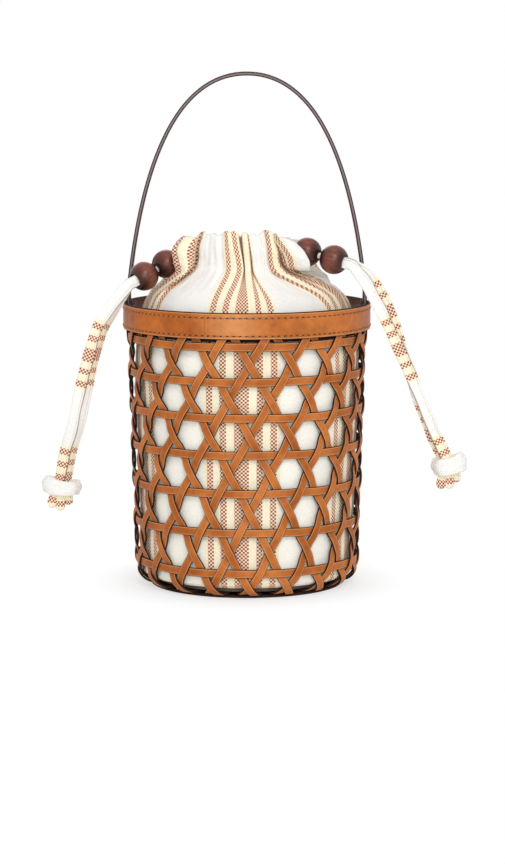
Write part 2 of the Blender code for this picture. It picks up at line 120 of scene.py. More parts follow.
def dress(piece, finish, body, slot, *nodes):
    """Give a piece its finish, the body it rides on and the solids it stands for; slot is not used."""
    piece.data.materials.clear()
    piece.data.materials.append(finish)
    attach(piece, body)
    if nodes:
        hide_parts(*nodes)
    return piece


# %% [markdown]
# ## The camera
# The photograph looks down by not quite eight degrees, from a little over two metres. Its lens
# follows from how many millimetres one pixel covers at the bag.

# %% Camera
IMAGE_HEIGHT = 864
MM_PER_PIXEL = 0.7253
CAMERA_DISTANCE = 2.2
CAMERA_TILT = np.radians(7.75)
CAMERA_AIM = Vector((0.0041, 0.0, 0.1092))

camera_data = bpy.data.cameras.new("camera")
camera_data.sensor_width = 36.0
camera_data.lens = 36.0 * CAMERA_DISTANCE / (MM_PER_PIXEL * MM * IMAGE_HEIGHT)
camera = bpy.data.objects.new("camera", camera_data)
camera_back = Vector((0.0, -np.cos(CAMERA_TILT), np.sin(CAMERA_TILT)))
camera.location = CAMERA_AIM + CAMERA_DISTANCE * camera_back
camera.rotation_euler = (-camera_back).to_track_quat("-Z", "Y").to_euler()
bpy.context.scene.collection.objects.link(camera)
bpy.context.scene.camera = camera
print("lens:", round(camera_data.lens, 1), "mm")

# %% [markdown]
# ## Colours and nodes
# Colours are written as they look on a screen, and one function turns them into the linear values
# that the shader wants. A second small function adds a node, sets it and links it.

# %% Helpers for finishes


def colour(code):
    """sRGB hex to linear RGBA: divide by 12.92 near black, and the 2.4 power law above."""
    value = np.array([int(code[n:n + 2], 16) for n in (0, 2, 4)]) / 255.0
    linear = np.where(value <= 0.04045, value / 12.92, ((value + 0.055) / 1.055) ** 2.4)
    return (*linear.tolist(), 1.0)


def add_node(tree, kind, inputs=None, **settings):
    """Add a node, set its settings, give each input a value or a link, and return its outputs by name."""
    node = tree.nodes.new(kind)
    for key, value in settings.items():
        setattr(node, key, value)
    for key, value in (inputs or {}).items():
        named = [socket for socket in node.inputs if socket.name == key and socket.enabled]
        socket = named[0] if named else node.inputs[key]
        if isinstance(value, bpy.types.NodeSocket):
            tree.links.new(value, socket)
        else:
            socket.default_value = value
    return {socket.name: socket for socket in node.outputs if socket.enabled}


def new_finish(name, **constants):
    """A material with a Principled shader, whose constant sockets are set on the socket itself."""
    finish = bpy.data.materials.new(name)
    finish.use_nodes = True
    shader = finish.node_tree.nodes["Principled BSDF"]
    for key, value in constants.items():
        shader.inputs[key.replace("_", " ")].default_value = value
    return finish, finish.node_tree, shader


# %% [markdown]
# ## Vegetable-tanned leather
# The strips, rim and strap are smooth cowhide, tanned with bark and waxed, so the colour is a warm
# tan that drifts from place to place, with a fine pebble grain and a soft gloss. The cut edges are
# sealed with dark brown edge paint and the back is the rough flesh side. Each point knows how near it
# is to the cut edge (mark edge) and whether it lies on the back (mark back), so the paint follows the
# piece. A third mark is painted light: it lightens the part that faces the light. A lighter line just
# inside each cut edge is a painted highlight. Grain of 0.4 mm would vanish in the picture, so it is
# drawn at about 0.9 mm.

# %% Leather finish
DRIFT_SIZE, MOTTLE_SIZE = 26 * MM, 4.5 * MM
GRAIN_SIZE = 0.9 * MM
PORE_SIZE = 0.35 * MM


def leather(name, light, dark, rubbed, paint, flesh, gloss, worn="3A241D"):
    """Leather: two drifting tones times a mottle and fine pores, a lighter line towards the edge that is a
    painted highlight, paint on the cut edge and flesh on the back. A mark of painted light lightens the
    face, and where the mark edge goes past 1 the paint gets a painted highlight in a lighter colour."""
    finish, tree, shader = new_finish(name, Specular_IOR_Level=0.16, IOR=1.48)
    place = add_node(tree, "ShaderNodeTexCoord")["Object"]
    drift = add_node(tree, "ShaderNodeTexNoise", {"Vector": place, "Scale": 1 / DRIFT_SIZE, "Detail": 5.0})
    pores = add_node(tree, "ShaderNodeTexNoise", {"Vector": place, "Scale": 1 / PORE_SIZE, "Detail": 2.0})
    grain = add_node(tree, "ShaderNodeTexVoronoi", {"Vector": place, "Scale": 1 / GRAIN_SIZE},
                     feature="DISTANCE_TO_EDGE")
    drift_share = add_node(tree, "ShaderNodeMapRange", {"Value": drift["Fac"], "From Min": 0.32,
                                                        "From Max": 0.68}, interpolation_type="SMOOTHSTEP")
    tone = add_node(tree, "ShaderNodeMix", {"Factor": drift_share["Result"], "A": colour(dark),
                                            "B": colour(light)}, data_type="RGBA")
    # painted light: this mark lightens the face towards the lighter tone
    pale = add_node(tree, "ShaderNodeAttribute", attribute_name="pale")["Fac"]
    tone = add_node(tree, "ShaderNodeMix", {"Factor": pale, "A": tone["Result"], "B": colour(rubbed)},
                    data_type="RGBA")
    speck = add_node(tree, "ShaderNodeMapRange", {"Value": pores["Fac"], "From Min": 0.3,
                                                  "From Max": 0.7, "To Min": 0.86, "To Max": 1.08})
    mottle = add_node(tree, "ShaderNodeTexNoise", {"Vector": place, "Scale": 1 / MOTTLE_SIZE, "Detail": 3.0})
    cloudy = add_node(tree, "ShaderNodeMapRange", {"Value": mottle["Fac"], "From Min": 0.3,
                                                   "From Max": 0.7, "To Min": 0.88, "To Max": 1.1})
    uneven = add_node(tree, "ShaderNodeMath", {0: speck["Result"], 1: cloudy["Result"]}, operation="MULTIPLY")
    face = add_node(tree, "ShaderNodeMix", {"Factor": 1.0, "A": tone["Result"], "B": uneven["Value"]},
                    data_type="RGBA", blend_type="MULTIPLY")
    edge = add_node(tree, "ShaderNodeAttribute", attribute_name="edge")["Fac"]
    back = add_node(tree, "ShaderNodeAttribute", attribute_name="back")["Fac"]
    ragged = add_node(tree, "ShaderNodeMath", {0: drift["Fac"], 1: 0.16, 2: edge},
                      operation="MULTIPLY_ADD")
    # painted highlight: a lighter line just inside each cut edge
    rub = add_node(tree, "ShaderNodeMapRange", {"Value": edge, "From Min": 0.05, "From Max": 0.5,
                                                "To Max": 0.6})
    painted = add_node(tree, "ShaderNodeMapRange", {"Value": ragged["Value"], "From Min": 0.74,
                                                    "From Max": 0.86})
    bright = add_node(tree, "ShaderNodeMix", {"Factor": rub["Result"], "A": face["Result"],
                                              "B": colour(rubbed)}, data_type="RGBA")
    edged = add_node(tree, "ShaderNodeMix", {"Factor": painted["Result"], "A": bright["Result"],
                                             "B": colour(paint)}, data_type="RGBA")
    # painted highlight: past an edge mark of 1, along the middle of the strap's cut edge, the paint turns
    # lighter
    crest = add_node(tree, "ShaderNodeMapRange", {"Value": edge, "From Min": 1.02, "From Max": 1.3})
    edged = add_node(tree, "ShaderNodeMix", {"Factor": crest["Result"], "A": edged["Result"],
                                             "B": colour(worn)}, data_type="RGBA")
    fibre = add_node(tree, "ShaderNodeMix", {"Factor": pores["Fac"], "A": colour(flesh),
                                             "B": colour(paint)}, data_type="RGBA")
    whole = add_node(tree, "ShaderNodeMix", {"Factor": back, "A": edged["Result"],
                                             "B": fibre["Result"]}, data_type="RGBA")
    tree.links.new(whole["Result"], shader.inputs["Base Color"])
    shine = add_node(tree, "ShaderNodeMapRange", {"Value": drift["Fac"], "To Min": gloss - 0.1,
                                                  "To Max": gloss + 0.12})
    cut = add_node(tree, "ShaderNodeMath", {0: back, 1: painted["Result"]}, operation="MAXIMUM")
    rough = add_node(tree, "ShaderNodeMix", {"Factor": cut["Value"], "A": shine["Result"], "B": 0.8})
    tree.links.new(rough["Result"], shader.inputs["Roughness"])
    pebble = add_node(tree, "ShaderNodeMapRange", {"Value": grain["Distance"], "From Max": 0.25})
    coarse = add_node(tree, "ShaderNodeBump", {"Height": pebble["Result"], "Strength": 0.16,
                                               "Distance": 0.05 * MM})
    fine = add_node(tree, "ShaderNodeBump", {"Height": pores["Fac"], "Strength": 0.2,
                                             "Distance": 0.05 * MM, "Normal": coarse["Normal"]})
    tree.links.new(fine["Normal"], shader.inputs["Normal"])
    return finish


EDGE_PAINT, TAN_FLESH, BROWN_FLESH = "33201B", "4A2A1C", "3A2019"
tan_strip = leather("waxed_tan_strip_leather", "C57437", "A65922", "E0A574", EDGE_PAINT, TAN_FLESH, 0.46)
tan_band = leather("waxed_tan_band_leather", "C26C2C", "A0521D", "DE9C60", EDGE_PAINT, TAN_FLESH, 0.42)
strap_leather = leather("painted_edge_strap_leather", "B06A34", "985624", "A8683A", "3C2C2A", TAN_FLESH, 0.44,
                        worn="8A7E82")
brown_facing = leather("brown_facing_leather", "683428", "4C261D", "683428", EDGE_PAINT, BROWN_FLESH, 0.5)
brown_base = leather("brown_base_leather", "3A2620", "2A1B17", "3A2620", EDGE_PAINT, BROWN_FLESH, 0.6)
print("leathers:", tan_strip.name, tan_band.name, strap_leather.name, brown_facing.name, brown_base.name)

# %% [markdown]
# ## The basket wall
# The strips lie on one surface: it tapers slightly, turns a round corner and runs under the base.
# Every strip is drawn as a distance down that wall and an angle round it, so a crossing always falls
# where it should. The sizes repeat those of the solids.

# %% Wall surface and weave rows
BASKET_HEIGHT, RIM_RADIUS, RIM_HEIGHT = 204 * MM, 89 * MM, 18.5 * MM
RIM_LEATHER, FACING_LEATHER, GAP = 1.7 * MM, 1.3 * MM, 0.3 * MM
STRIP_WIDTH, STRIP_THICKNESS = 6 * MM, 1.4 * MM
HOOP_COUNT, STRIPS_EACH_WAY = 7, 18
HOOP_DROP, LOWEST_HOOP, ROW_GROWTH = 5.5 * MM, 19.2 * MM, 0.84 * MM
RIM_TUCK, BASE_TUCK = 4.5 * MM, 7 * MM
FIRST_STRIP_ANGLE, FIRST_STRIP_ROW = np.radians(-3.5), 2
TAPER, CORNER_RADIUS, COVER_THICKNESS = np.radians(1.75), 12 * MM, 1.8 * MM

LAYER = STRIP_THICKNESS + GAP
RIM_BOTTOM = BASKET_HEIGHT - RIM_HEIGHT
TOP_HOOP = RIM_BOTTOM - HOOP_DROP
WALL_RADIUS = RIM_RADIUS - RIM_LEATHER - GAP - STRIP_THICKNESS / 2 - LAYER
FACING_RADIUS = WALL_RADIUS - LAYER - STRIP_THICKNESS / 2 - GAP
BASE_LEVEL = COVER_THICKNESS + GAP + STRIP_THICKNESS / 2
FIRST_PITCH = (TOP_HOOP - LOWEST_HOOP) / (HOOP_COUNT - 1) - ROW_GROWTH * (HOOP_COUNT - 2) / 2
STRIP_PITCH = 2 * np.pi / STRIPS_EACH_WAY
ROW_TURN = STRIP_PITCH / 2
BASE_ROW = HOOP_COUNT + 1
TAPER_LENGTH = (TOP_HOOP - BASE_LEVEL - CORNER_RADIUS * (1 - np.sin(TAPER))) / np.cos(TAPER)
CORNER_END = TAPER_LENGTH + CORNER_RADIUS * (np.pi / 2 - TAPER)


def wall(distance):
    """Radius, height and outward normal of the wall, a distance down from the top hoop: upright
    above the hoop, then a straight taper, then a quarter circle, then flat under the base."""
    down = np.asarray(distance, float)
    taper = np.clip(down, 0.0, TAPER_LENGTH)
    turn = np.clip(TAPER + (down - TAPER_LENGTH) / CORNER_RADIUS, TAPER, np.pi / 2)
    radius = (WALL_RADIUS - taper * np.sin(TAPER) - CORNER_RADIUS * (np.cos(TAPER) - np.cos(turn))
              - np.maximum(down - CORNER_END, 0.0))
    height = (TOP_HOOP - np.minimum(down, 0.0) - taper * np.cos(TAPER)
              - CORNER_RADIUS * (np.sin(turn) - np.sin(TAPER)))
    lean = np.where(down > 0.0, turn, 0.0)
    return radius, height, np.cos(lean), -np.sin(lean)


def plan(angle, radius, height):
    """Points at a plan angle from the front (growing towards +X), a radius and a height."""
    return np.stack(np.broadcast_arrays(radius * np.sin(angle), -radius * np.cos(angle), height), axis=-1)


def on_wall(angle, distance, offset):
    """Points on the wall, moved out along its normal."""
    radius, height, out, up = wall(distance)
    return plan(angle, radius + offset * out, height + offset * up)


def row_distance(row):
    """How far down the wall a weave row lies; the rows spread a little towards the bottom."""
    row = np.asarray(row, float)
    hoop = np.minimum(row, HOOP_COUNT)
    drop = FIRST_PITCH * (hoop - 1) + ROW_GROWTH * (hoop - 1) * (hoop - 2) / 2
    last = FIRST_PITCH * (HOOP_COUNT - 1) + ROW_GROWTH * (HOOP_COUNT - 1) * (HOOP_COUNT - 2) / 2
    base_step = CORNER_END - last / np.cos(TAPER)
    return drop / np.cos(TAPER) + np.maximum(row - HOOP_COUNT, 0.0) * base_step


print("hoops at", np.round(wall(row_distance(np.arange(1, 8)))[1] / MM, 1), "mm")

# %% [markdown]
# ## A strip's cross-section
# Cut leather is not a box: the face is a little crowned, the corners are rounded by the edge paint
# and the back is flat. The profile below is one closed loop of points, and tells for each point how
# near it is to the cut edge.

# %% Strip profile


def strip_profile(width, thickness, corner, crown, face_points=7, groove=0.0):
    """A closed loop (across, height): a crowned face, round corners and a flat back.

    The face rises by crown times one minus the square of its share of the half width, each corner is
    a quarter circle, and groove is the depth of a line along the middle of the cut edge. Also returns
    how near each point is to the cut edge, and which points lie on the back.
    """
    half, top = width / 2, thickness / 2
    inner = np.linspace(-1, 1, face_points - 2) * (half - 2.7 * corner)
    flat = np.concatenate([[corner - half], inner, [half - corner]])
    arc = np.radians([70, 45, 20])
    right = np.stack([half - corner + corner * np.cos(arc), top - corner + corner * np.sin(arc)], axis=1)
    line = (top - corner) * 0.3
    middle = np.array([[half, line], [half - groove, 0.0], [half, -line]])
    face = np.stack([flat, np.full(face_points, top)], axis=1)
    turn = np.concatenate([right, middle, right[::-1] * (1, -1)])
    back = np.stack([flat[::-2], np.full(len(flat[::-2]), -top)], axis=1)
    loop = np.concatenate([face, turn, back, turn * (-1, -1)])
    share = np.clip(np.abs(loop[:, 0]) / half, 0, 1)
    loop[:, 1] += crown * (1 - share ** 2) * (loop[:, 1] > 0)
    edge = smooth_step(half - 2.6 * corner, half - 0.05 * corner, np.abs(loop[:, 0]))
    on_back = (loop[:, 1] < -top * 0.98).astype(float)
    return loop[:, 0], loop[:, 1], edge, on_back


ACROSS, HEIGHT, EDGE, BACK = strip_profile(STRIP_WIDTH, STRIP_THICKNESS, 0.42 * MM, 0.16 * MM)
print("strip profile:", len(ACROSS), "points")

# %% [markdown]
# ## The weave
# On the bag the right-leaning strips pass over the hoops and under the left-leaning ones, which pass
# under the hoops, so the three sets lock. A strip's path is therefore a level that swings in and out
# along its length. It could be simulated, but the crossings are known, so the level is drawn through
# them and softened as leather bends. Hand work is never exact: each strip wanders by a fraction of a
# millimetre.

# %% Leaning strips
CROSSING_LEVEL = 0.82
STRIP_ROWS = 190
SOFTEN = 9
rng = np.random.default_rng(11)


def strip_course(row, lean):
    """Metres that a leaning strip moves round and down the wall for each row."""
    nudge = 0.01
    down = (row_distance(row + nudge) - row_distance(row - nudge)) / (2 * nudge)
    fade = 1 - smooth_step(BASE_ROW - 0.12, BASE_ROW + 0.12, row)
    return -lean * ROW_TURN * wall(row_distance(row))[0] * fade, down


def crossing_reach(row):
    """Half the length, in rows, that a strip stays flat where it crosses another."""
    across, down = strip_course(row, 1)
    slope = np.arctan2(down, abs(across))
    angle = slope if abs(row - round(row)) < 0.25 else np.pi - 2 * slope
    reach = STRIP_WIDTH / 2 / np.tan(min(angle, np.pi - angle) / 2) + GAP
    return reach / np.hypot(across, down)


def strip_level(rows, lean):
    """How far out a strip lies at each row, in layers: its sign at hoops, half of the other between."""
    pairs = [(rows[0], lean)]
    for half_row in range(2, 2 * BASE_ROW):
        row, reach = half_row / 2, crossing_reach(half_row / 2)
        level = lean * CROSSING_LEVEL if half_row % 2 == 0 else -lean / 2
        pairs += [(row - reach, level)] * (half_row > 2) + [(row + reach, level)]
    pairs += [(BASE_ROW, 0.0), (rows[-1], 0.0)]
    known = np.array(pairs)
    level = np.interp(rows, known[:, 0], known[:, 1])
    kernel = np.hanning(SOFTEN + 2)[1:-1]
    padded = np.pad(level, SOFTEN // 2, mode="edge")
    return np.convolve(padded, kernel / kernel.sum(), mode="valid")


base_step = float(row_distance(BASE_ROW) - row_distance(HOOP_COUNT))
strip_rows = np.linspace(1 - (HOOP_DROP + RIM_TUCK) / FIRST_PITCH, BASE_ROW + BASE_TUCK / base_step,
                         STRIP_ROWS)


def leaning_strip(start_angle, lean, wander):
    """A profile carried down the wall: across it along the wall, and its height along the normal."""
    across, down = strip_course(strip_rows, lean)
    size = np.hypot(across, down)
    turned = np.minimum(strip_rows, BASE_ROW) - FIRST_STRIP_ROW
    angle = start_angle - lean * ROW_TURN * turned
    side = ACROSS[None, :] + wander[:, None]
    distance = row_distance(strip_rows)[:, None] - side * (across / size)[:, None]
    radius = wall(distance)[0]
    angles = angle[:, None] + side * (down / size)[:, None] / radius
    offset = LAYER * strip_level(strip_rows, lean)[:, None] + HEIGHT[None, :]
    return on_wall(angles, distance, offset)


def wandering(amount):
    """A slow random drift to the side: three sine waves with random phases."""
    wave = np.arange(1, 4)[:, None] * np.pi * np.linspace(0, 1, STRIP_ROWS)
    return amount * np.sin(wave + rng.uniform(0, 2 * np.pi, (3, 1))).mean(axis=0)


weave = []
for word, lean, start in (("right", 1, 0.0), ("left", -1, STRIP_PITCH / 2)):
    for number in range(STRIPS_EACH_WAY):
        angle = FIRST_STRIP_ANGLE + start + number * STRIP_PITCH
        points = leaning_strip(angle, lean, wandering(0.55 * MM))
        strip = add_surface(f"weave_{word}_{number + 1:02d}", points, wrap=(False, True), caps=True,
                            edge=EDGE, back=BACK)
        weave.append(dress(strip, tan_strip, "bag", "tan_leather", f"strip_{word}_{number + 1:02d}"))
print("leaning strips:", len(weave))

# %% [markdown]
# ## The hoops
# Seven strips run level round the basket. Each gives way a little: inwards where a right-leaning
# strip presses on it, and outwards over a left-leaning one.

# %% Hoops
HOOP_POINTS = 288
ring_angle = np.arange(HOOP_POINTS) * 2 * np.pi / HOOP_POINTS
hoops = []
for number in range(1, HOOP_COUNT + 1):
    crossing = FIRST_STRIP_ANGLE - ROW_TURN * (number - FIRST_STRIP_ROW)
    give = -(1 - CROSSING_LEVEL) * LAYER * np.cos(STRIPS_EACH_WAY * (ring_angle - crossing))
    sway = 0.3 * MM * np.sin(ring_angle * 2 + rng.uniform(0, 6)) * np.sin(ring_angle * 5 + rng.uniform(0, 6))
    middle = float(row_distance(number))
    points = on_wall(ring_angle[:, None], middle - ACROSS[None, :] + sway[:, None],
                     give[:, None] + HEIGHT[None, :])
    hoop = add_surface(f"weave_hoop_{number}", points, wrap=(True, True), edge=EDGE, back=BACK)
    hoops.append(dress(hoop, tan_strip, "bag", "tan_leather", f"hoop_{number}"))
print("hoops:", len(hoops))

# %% [markdown]
# ## The rim
# The rim is a sandwich: an outer band, the strips' ends, a stiff core and a dark facing inside. Its
# top edge is painted over all the layers. A few fine upright creases show where the band's ends meet,
# a little left of the middle, and where it was bent at the far left and on the right. The band carries
# painted light: it is lighter in the middle of the front and a little towards the right.

# %% Rim band, facing and core
CREASES = ((np.radians(-76), 0.3 * MM), (np.radians(-72), 0.2 * MM), (np.radians(-19.6), 0.5 * MM),
           (np.radians(-17.9), 0.25 * MM), (np.radians(18), 0.16 * MM))
CREASE_WIDTH = 0.5 * MM
fine_angles = np.linspace(-2.5, 2.5, 21) * MM / RIM_RADIUS
rim_angle = np.unique(np.concatenate([ring_angle] + [(at + fine_angles) % (2 * np.pi) for at, _ in CREASES]))


def crease(angle):
    """Sum of narrow bell-shaped dents, one at each crease."""
    away = [(np.angle(np.exp(1j * (angle - at))) * RIM_RADIUS / CREASE_WIDTH, deep) for at, deep in CREASES]
    return sum(deep * np.exp(-gap ** 2) for gap, deep in away)


def rim_ripple(angle):
    """The slow waves of a band sewn by hand: two sine waves round the rim, multiplied."""
    return 0.12 * MM * np.sin(3 * angle + 1) * np.sin(7 * angle)


def drawn_up(angle, height):
    """How far the facing is drawn out to the band: 5 mm at the top, where the layers are sewn together,
    except at the strap's two ends, and nothing at half height."""
    beside_strap = smooth_step(8.2 * MM, 18 * MM, np.abs(RIM_RADIUS * np.cos(angle)))
    return (1.3 + 3.6 * beside_strap) * MM * smooth_step(RIM_BOTTOM + 5 * MM, BASKET_HEIGHT - 1 * MM, height)


def band(name, radius, low, high, thickness, crown, outward, dent=0.0):
    """A strip profile turned about Z; outward is 1 where its face looks out and -1 where it looks in."""
    across, height, edge, back = strip_profile(high - low, thickness, 0.55 * MM, crown, 13)
    ripple = rim_ripple(rim_angle) - dent
    level = (low + high) / 2 + across[None, :]
    draw = drawn_up(rim_angle[:, None], level) if outward < 0 else 0.0
    distance = radius + outward * height[None, :] + ripple[:, None] + draw
    points = plan(rim_angle[:, None], distance, level)
    turn = np.angle(np.exp(1j * rim_angle))
    # painted light: the outer band is lighter in the middle of the front and a little towards the right
    pale = (0.6 * np.exp(-((turn + 0.1) / 0.22) ** 2) + 0.15 * smooth_step(0.1, 0.5, turn)) * (outward > 0)
    return add_surface(name, points, wrap=(True, True), edge=edge, back=back, pale=pale[:, None])


rim_outer = band("rim_outer_band", RIM_RADIUS - RIM_LEATHER / 2, RIM_BOTTOM, BASKET_HEIGHT, RIM_LEATHER,
                 0.1 * MM, 1, crease(rim_angle))
dress(rim_outer, tan_band, "bag", "tan_leather", "rim_band")
rim_inner = band("rim_inner_facing", FACING_RADIUS - FACING_LEATHER / 2, RIM_BOTTOM - 2.4 * MM, BASKET_HEIGHT,
                 FACING_LEATHER, 0.05 * MM, -1)
dress(rim_inner, brown_facing, "bag", "dark_leather", "rim_facing")

STRAP_WIDTH, STRAP_THICKNESS, TAB_DEPTH = 15 * MM, 3.2 * MM, 12.5 * MM
CORE_LOW = RIM_BOTTOM + RIM_TUCK + GAP
notch = np.arcsin((STRAP_WIDTH / 2 + GAP) / WALL_RADIUS)
sides = np.pi / 2 + np.array([-notch, notch])
notch_sides = [sides + n * np.pi + s * 1e-4 for n in (0, 1) for s in (-1, 1)]
core_angle = np.unique(np.concatenate([ring_angle, *notch_sides]))
core_notched = np.abs(np.cos(core_angle)) < np.sin(notch)
CORE_TOP = RIM_BOTTOM + 8 * MM
core_limit = np.where(core_notched, min(BASKET_HEIGHT - TAB_DEPTH - GAP, CORE_TOP), CORE_TOP)
core_half = (RIM_RADIUS - RIM_LEATHER - FACING_RADIUS) / 2 - 0.1 * MM
across, height, _, _ = strip_profile(2 * core_half, CORE_TOP - CORE_LOW, 0.7 * MM, 0.0)
core_points = plan(core_angle[:, None], (RIM_RADIUS - RIM_LEATHER + FACING_RADIUS) / 2 + across[None, :],
                   np.minimum((CORE_LOW + CORE_TOP) / 2 + height[None, :], core_limit[:, None]))
rim_filler = add_surface("rim_filler_core", core_points, wrap=(True, True), edge=1.0, back=0.0)
dress(rim_filler, brown_base, "bag", "dark_leather", "rim_core")
print("rim:", rim_outer.name, rim_inner.name, rim_filler.name)

# %% [markdown]
# ## Stitches
# Two rows of waxed thread hold the rim together. A stitch is a short piece of thread that rises out
# of one hole and dives into the next, so it is drawn as a little arched tube. The awl's slanted holes
# show as dark shade, more than the thread, so each is a shallow oval of painted shade of its own, and
# a mark darkens each stitch with painted shade at both ends, where it dives in, and all over on the
# inside of the rim. There are hundreds, so each has only a few dozen faces.

# %% Thread finish
finish, tree, shader = new_finish("waxed_linen_thread", Roughness=0.55, Specular_IOR_Level=0.3)
# painted shade: this mark darkens the thread and the hole ovals towards a near-black brown
sunk = add_node(tree, "ShaderNodeAttribute", attribute_name="sunk")["Fac"]
place = add_node(tree, "ShaderNodeTexCoord")["Object"]
ply = add_node(tree, "ShaderNodeTexWave", {"Vector": place, "Scale": 0.05 / (0.8 * MM), "Distortion": 1.5},
               bands_direction="DIAGONAL")
twist = add_node(tree, "ShaderNodeMix", {"Factor": ply["Fac"], "A": colour("A85E28"),
                                         "B": colour("C07838")}, data_type="RGBA")
shade = add_node(tree, "ShaderNodeMix", {"Factor": sunk, "A": twist["Result"], "B": colour("2E150B")},
                 data_type="RGBA")
tree.links.new(shade["Result"], shader.inputs["Base Color"])
raised = add_node(tree, "ShaderNodeBump", {"Height": ply["Fac"], "Strength": 0.4, "Distance": 0.05 * MM})
tree.links.new(raised["Normal"], shader.inputs["Normal"])
thread = finish

# %% Stitches on the rim
STITCH_PITCH, STITCH_LENGTH, THREAD = 4.5 * MM, 3.5 * MM, 0.75 * MM
STITCH_SLANT = np.radians(5)


def stitch_tubes(name, centre, along, out, dark):
    """Arched tubes: each runs along its line, lifted by one minus the square of its share and dipped at
    both ends by the eighth power, with a round section. A mark gives painted shade towards both ends,
    and all over by the share given as dark."""
    share = np.linspace(-1, 1, 9)
    lift = 0.14 * MM * (1 - share ** 2) - 0.42 * MM * share ** 8
    section = np.arange(6) * 2 * np.pi / 6
    side = np.cross(out, along)
    line = unit(along + np.tan(STITCH_SLANT) * side)
    side = np.cross(out, line)
    spine = (centre[:, None] + line[:, None] * (share * STITCH_LENGTH / 2)[:, None]
             + out[:, None] * lift[:, None])
    ring = THREAD / 2 * (np.cos(section)[:, None] * side[:, None, None]
                         + np.sin(section)[:, None] * out[:, None, None])
    points = spine[:, :, None] + ring
    # painted shade at the stitch ends, and all over by the share given as dark
    sunk = np.maximum(share ** 4, dark)
    return add_surface(name, points, wrap=(False, True), caps=True, sunk=sunk[:, None])


stitch_count = round(2 * np.pi * RIM_RADIUS / STITCH_PITCH)
stitch_angle = (np.arange(stitch_count) + 0.5) * 2 * np.pi / stitch_count
ring_out, ring_along = plan(stitch_angle, 1.0, 0.0), plan(stitch_angle + np.pi / 2, 1.0, 0.0)
stitch_rows = (BASKET_HEIGHT - 3.5 * MM, RIM_BOTTOM + 2.5 * MM)
FACE_RISE = 0.06 * MM
outer_face, inner_face = RIM_RADIUS + FACE_RISE + 0.02 * MM, FACING_RADIUS - FACING_LEATHER - 0.04 * MM
for name, face, sign in (("rim_stitches_outside", outer_face, 1), ("rim_stitches_inside", inner_face, -1)):
    radius = face + rim_ripple(stitch_angle)
    draw = [drawn_up(stitch_angle, level) if sign < 0 else 0.0 for level in stitch_rows]
    middle = np.concatenate([plan(stitch_angle, radius + more, level)
                             for more, level in zip(draw, stitch_rows)])
    # inside the rim the whole thread gets painted shade
    made = stitch_tubes(name, middle, np.tile(ring_along, (2, 1)), np.tile(sign * ring_out, (2, 1)),
                        dark=0.75 * (sign < 0))
    dress(made, thread, "bag", "tan_leather")
HOLE_LENGTH, HOLE_WIDTH, HOLE_SLANT = 2.1 * MM, 1.24 * MM, np.radians(28)
hole_angle = stitch_angle + np.pi / stitch_count
hole_out, hole_along = plan(hole_angle, 1.0, 0.0), plan(hole_angle + np.pi / 2, 1.0, 0.0)
hole_line = unit(hole_along + np.array([0, 0, np.tan(HOLE_SLANT)]))
hole_side = np.cross(hole_out, hole_line)
hole_turn = np.arange(8) * 2 * np.pi / 8
hole_ring = (HOLE_LENGTH / 2 * np.cos(hole_turn)[:, None] * hole_line[:, None]
             + HOLE_WIDTH / 2 * np.sin(hole_turn)[:, None] * hole_side[:, None])
hole_rings = np.stack([hole_ring - 0.1 * MM * hole_out[:, None],
                       hole_ring * 0.6 + 0.06 * MM * hole_out[:, None]], axis=1)
hole_radius = RIM_RADIUS + FACE_RISE + rim_ripple(hole_angle)
hole_rows = [plan(hole_angle, hole_radius, level)[:, None, None] + hole_rings for level in stitch_rows]
# painted shade: each hole oval is dark all over
holes = add_surface("rim_stitch_holes", np.concatenate(hole_rows), wrap=(False, True), caps=True, sunk=1.0)
dress(holes, thread, "bag", "tan_leather")
print("rim stitches:", 4 * stitch_count)

# %% [markdown]
# ## The base
# The strips turn under the basket and end between a fibre board, on which the pouch stands, and a
# leather cover, on which the bag stands. The cover is a disc with a soft edge; the board is hidden,
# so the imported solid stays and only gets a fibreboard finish.

# %% Base cover and board
COVER_RADIUS = 70 * MM
cover_arc = np.radians(np.linspace(-90, 90, 9))
cover_r = np.concatenate([np.linspace(2 * MM, COVER_RADIUS - 2 * MM, 6),
                          COVER_RADIUS - COVER_THICKNESS / 2 * (1 - np.cos(cover_arc)),
                          np.linspace(COVER_RADIUS - 2 * MM, 2 * MM, 6)])
cover_z = np.concatenate([np.zeros(6), COVER_THICKNESS / 2 * (1 + np.sin(cover_arc)),
                          np.full(6, COVER_THICKNESS)])
cover_points = plan(ring_angle[None, :], cover_r[:, None], cover_z[:, None])
cover_edge = smooth_step(COVER_RADIUS - 3 * MM, COVER_RADIUS, cover_r)
base_disc = add_surface("base_cover_disc", cover_points, wrap=(False, True), caps=True,
                        edge=cover_edge[:, None], back=0.0)
dress(base_disc, brown_base, "bag", "dark_leather", "base_cover")

finish, tree, shader = new_finish("pressed_fibreboard", Roughness=0.9)
place = add_node(tree, "ShaderNodeTexCoord")["Object"]
felt = add_node(tree, "ShaderNodeTexNoise", {"Vector": place, "Scale": 1 / (1.5 * MM), "Detail": 6.0})
fibres = add_node(tree, "ShaderNodeMix", {"Factor": felt["Fac"], "A": colour("6E5F50"),
                                          "B": colour("8F7E6A")}, data_type="RGBA")
tree.links.new(fibres["Result"], shader.inputs["Base Color"])
pressed = add_node(tree, "ShaderNodeBump", {"Height": felt["Fac"], "Strength": 0.3, "Distance": 0.1 * MM})
tree.links.new(pressed["Normal"], shader.inputs["Normal"])
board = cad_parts["base_board"]
board.data.materials.clear()
board.data.materials.append(finish)
print("base:", base_disc.name, "and", board.name)

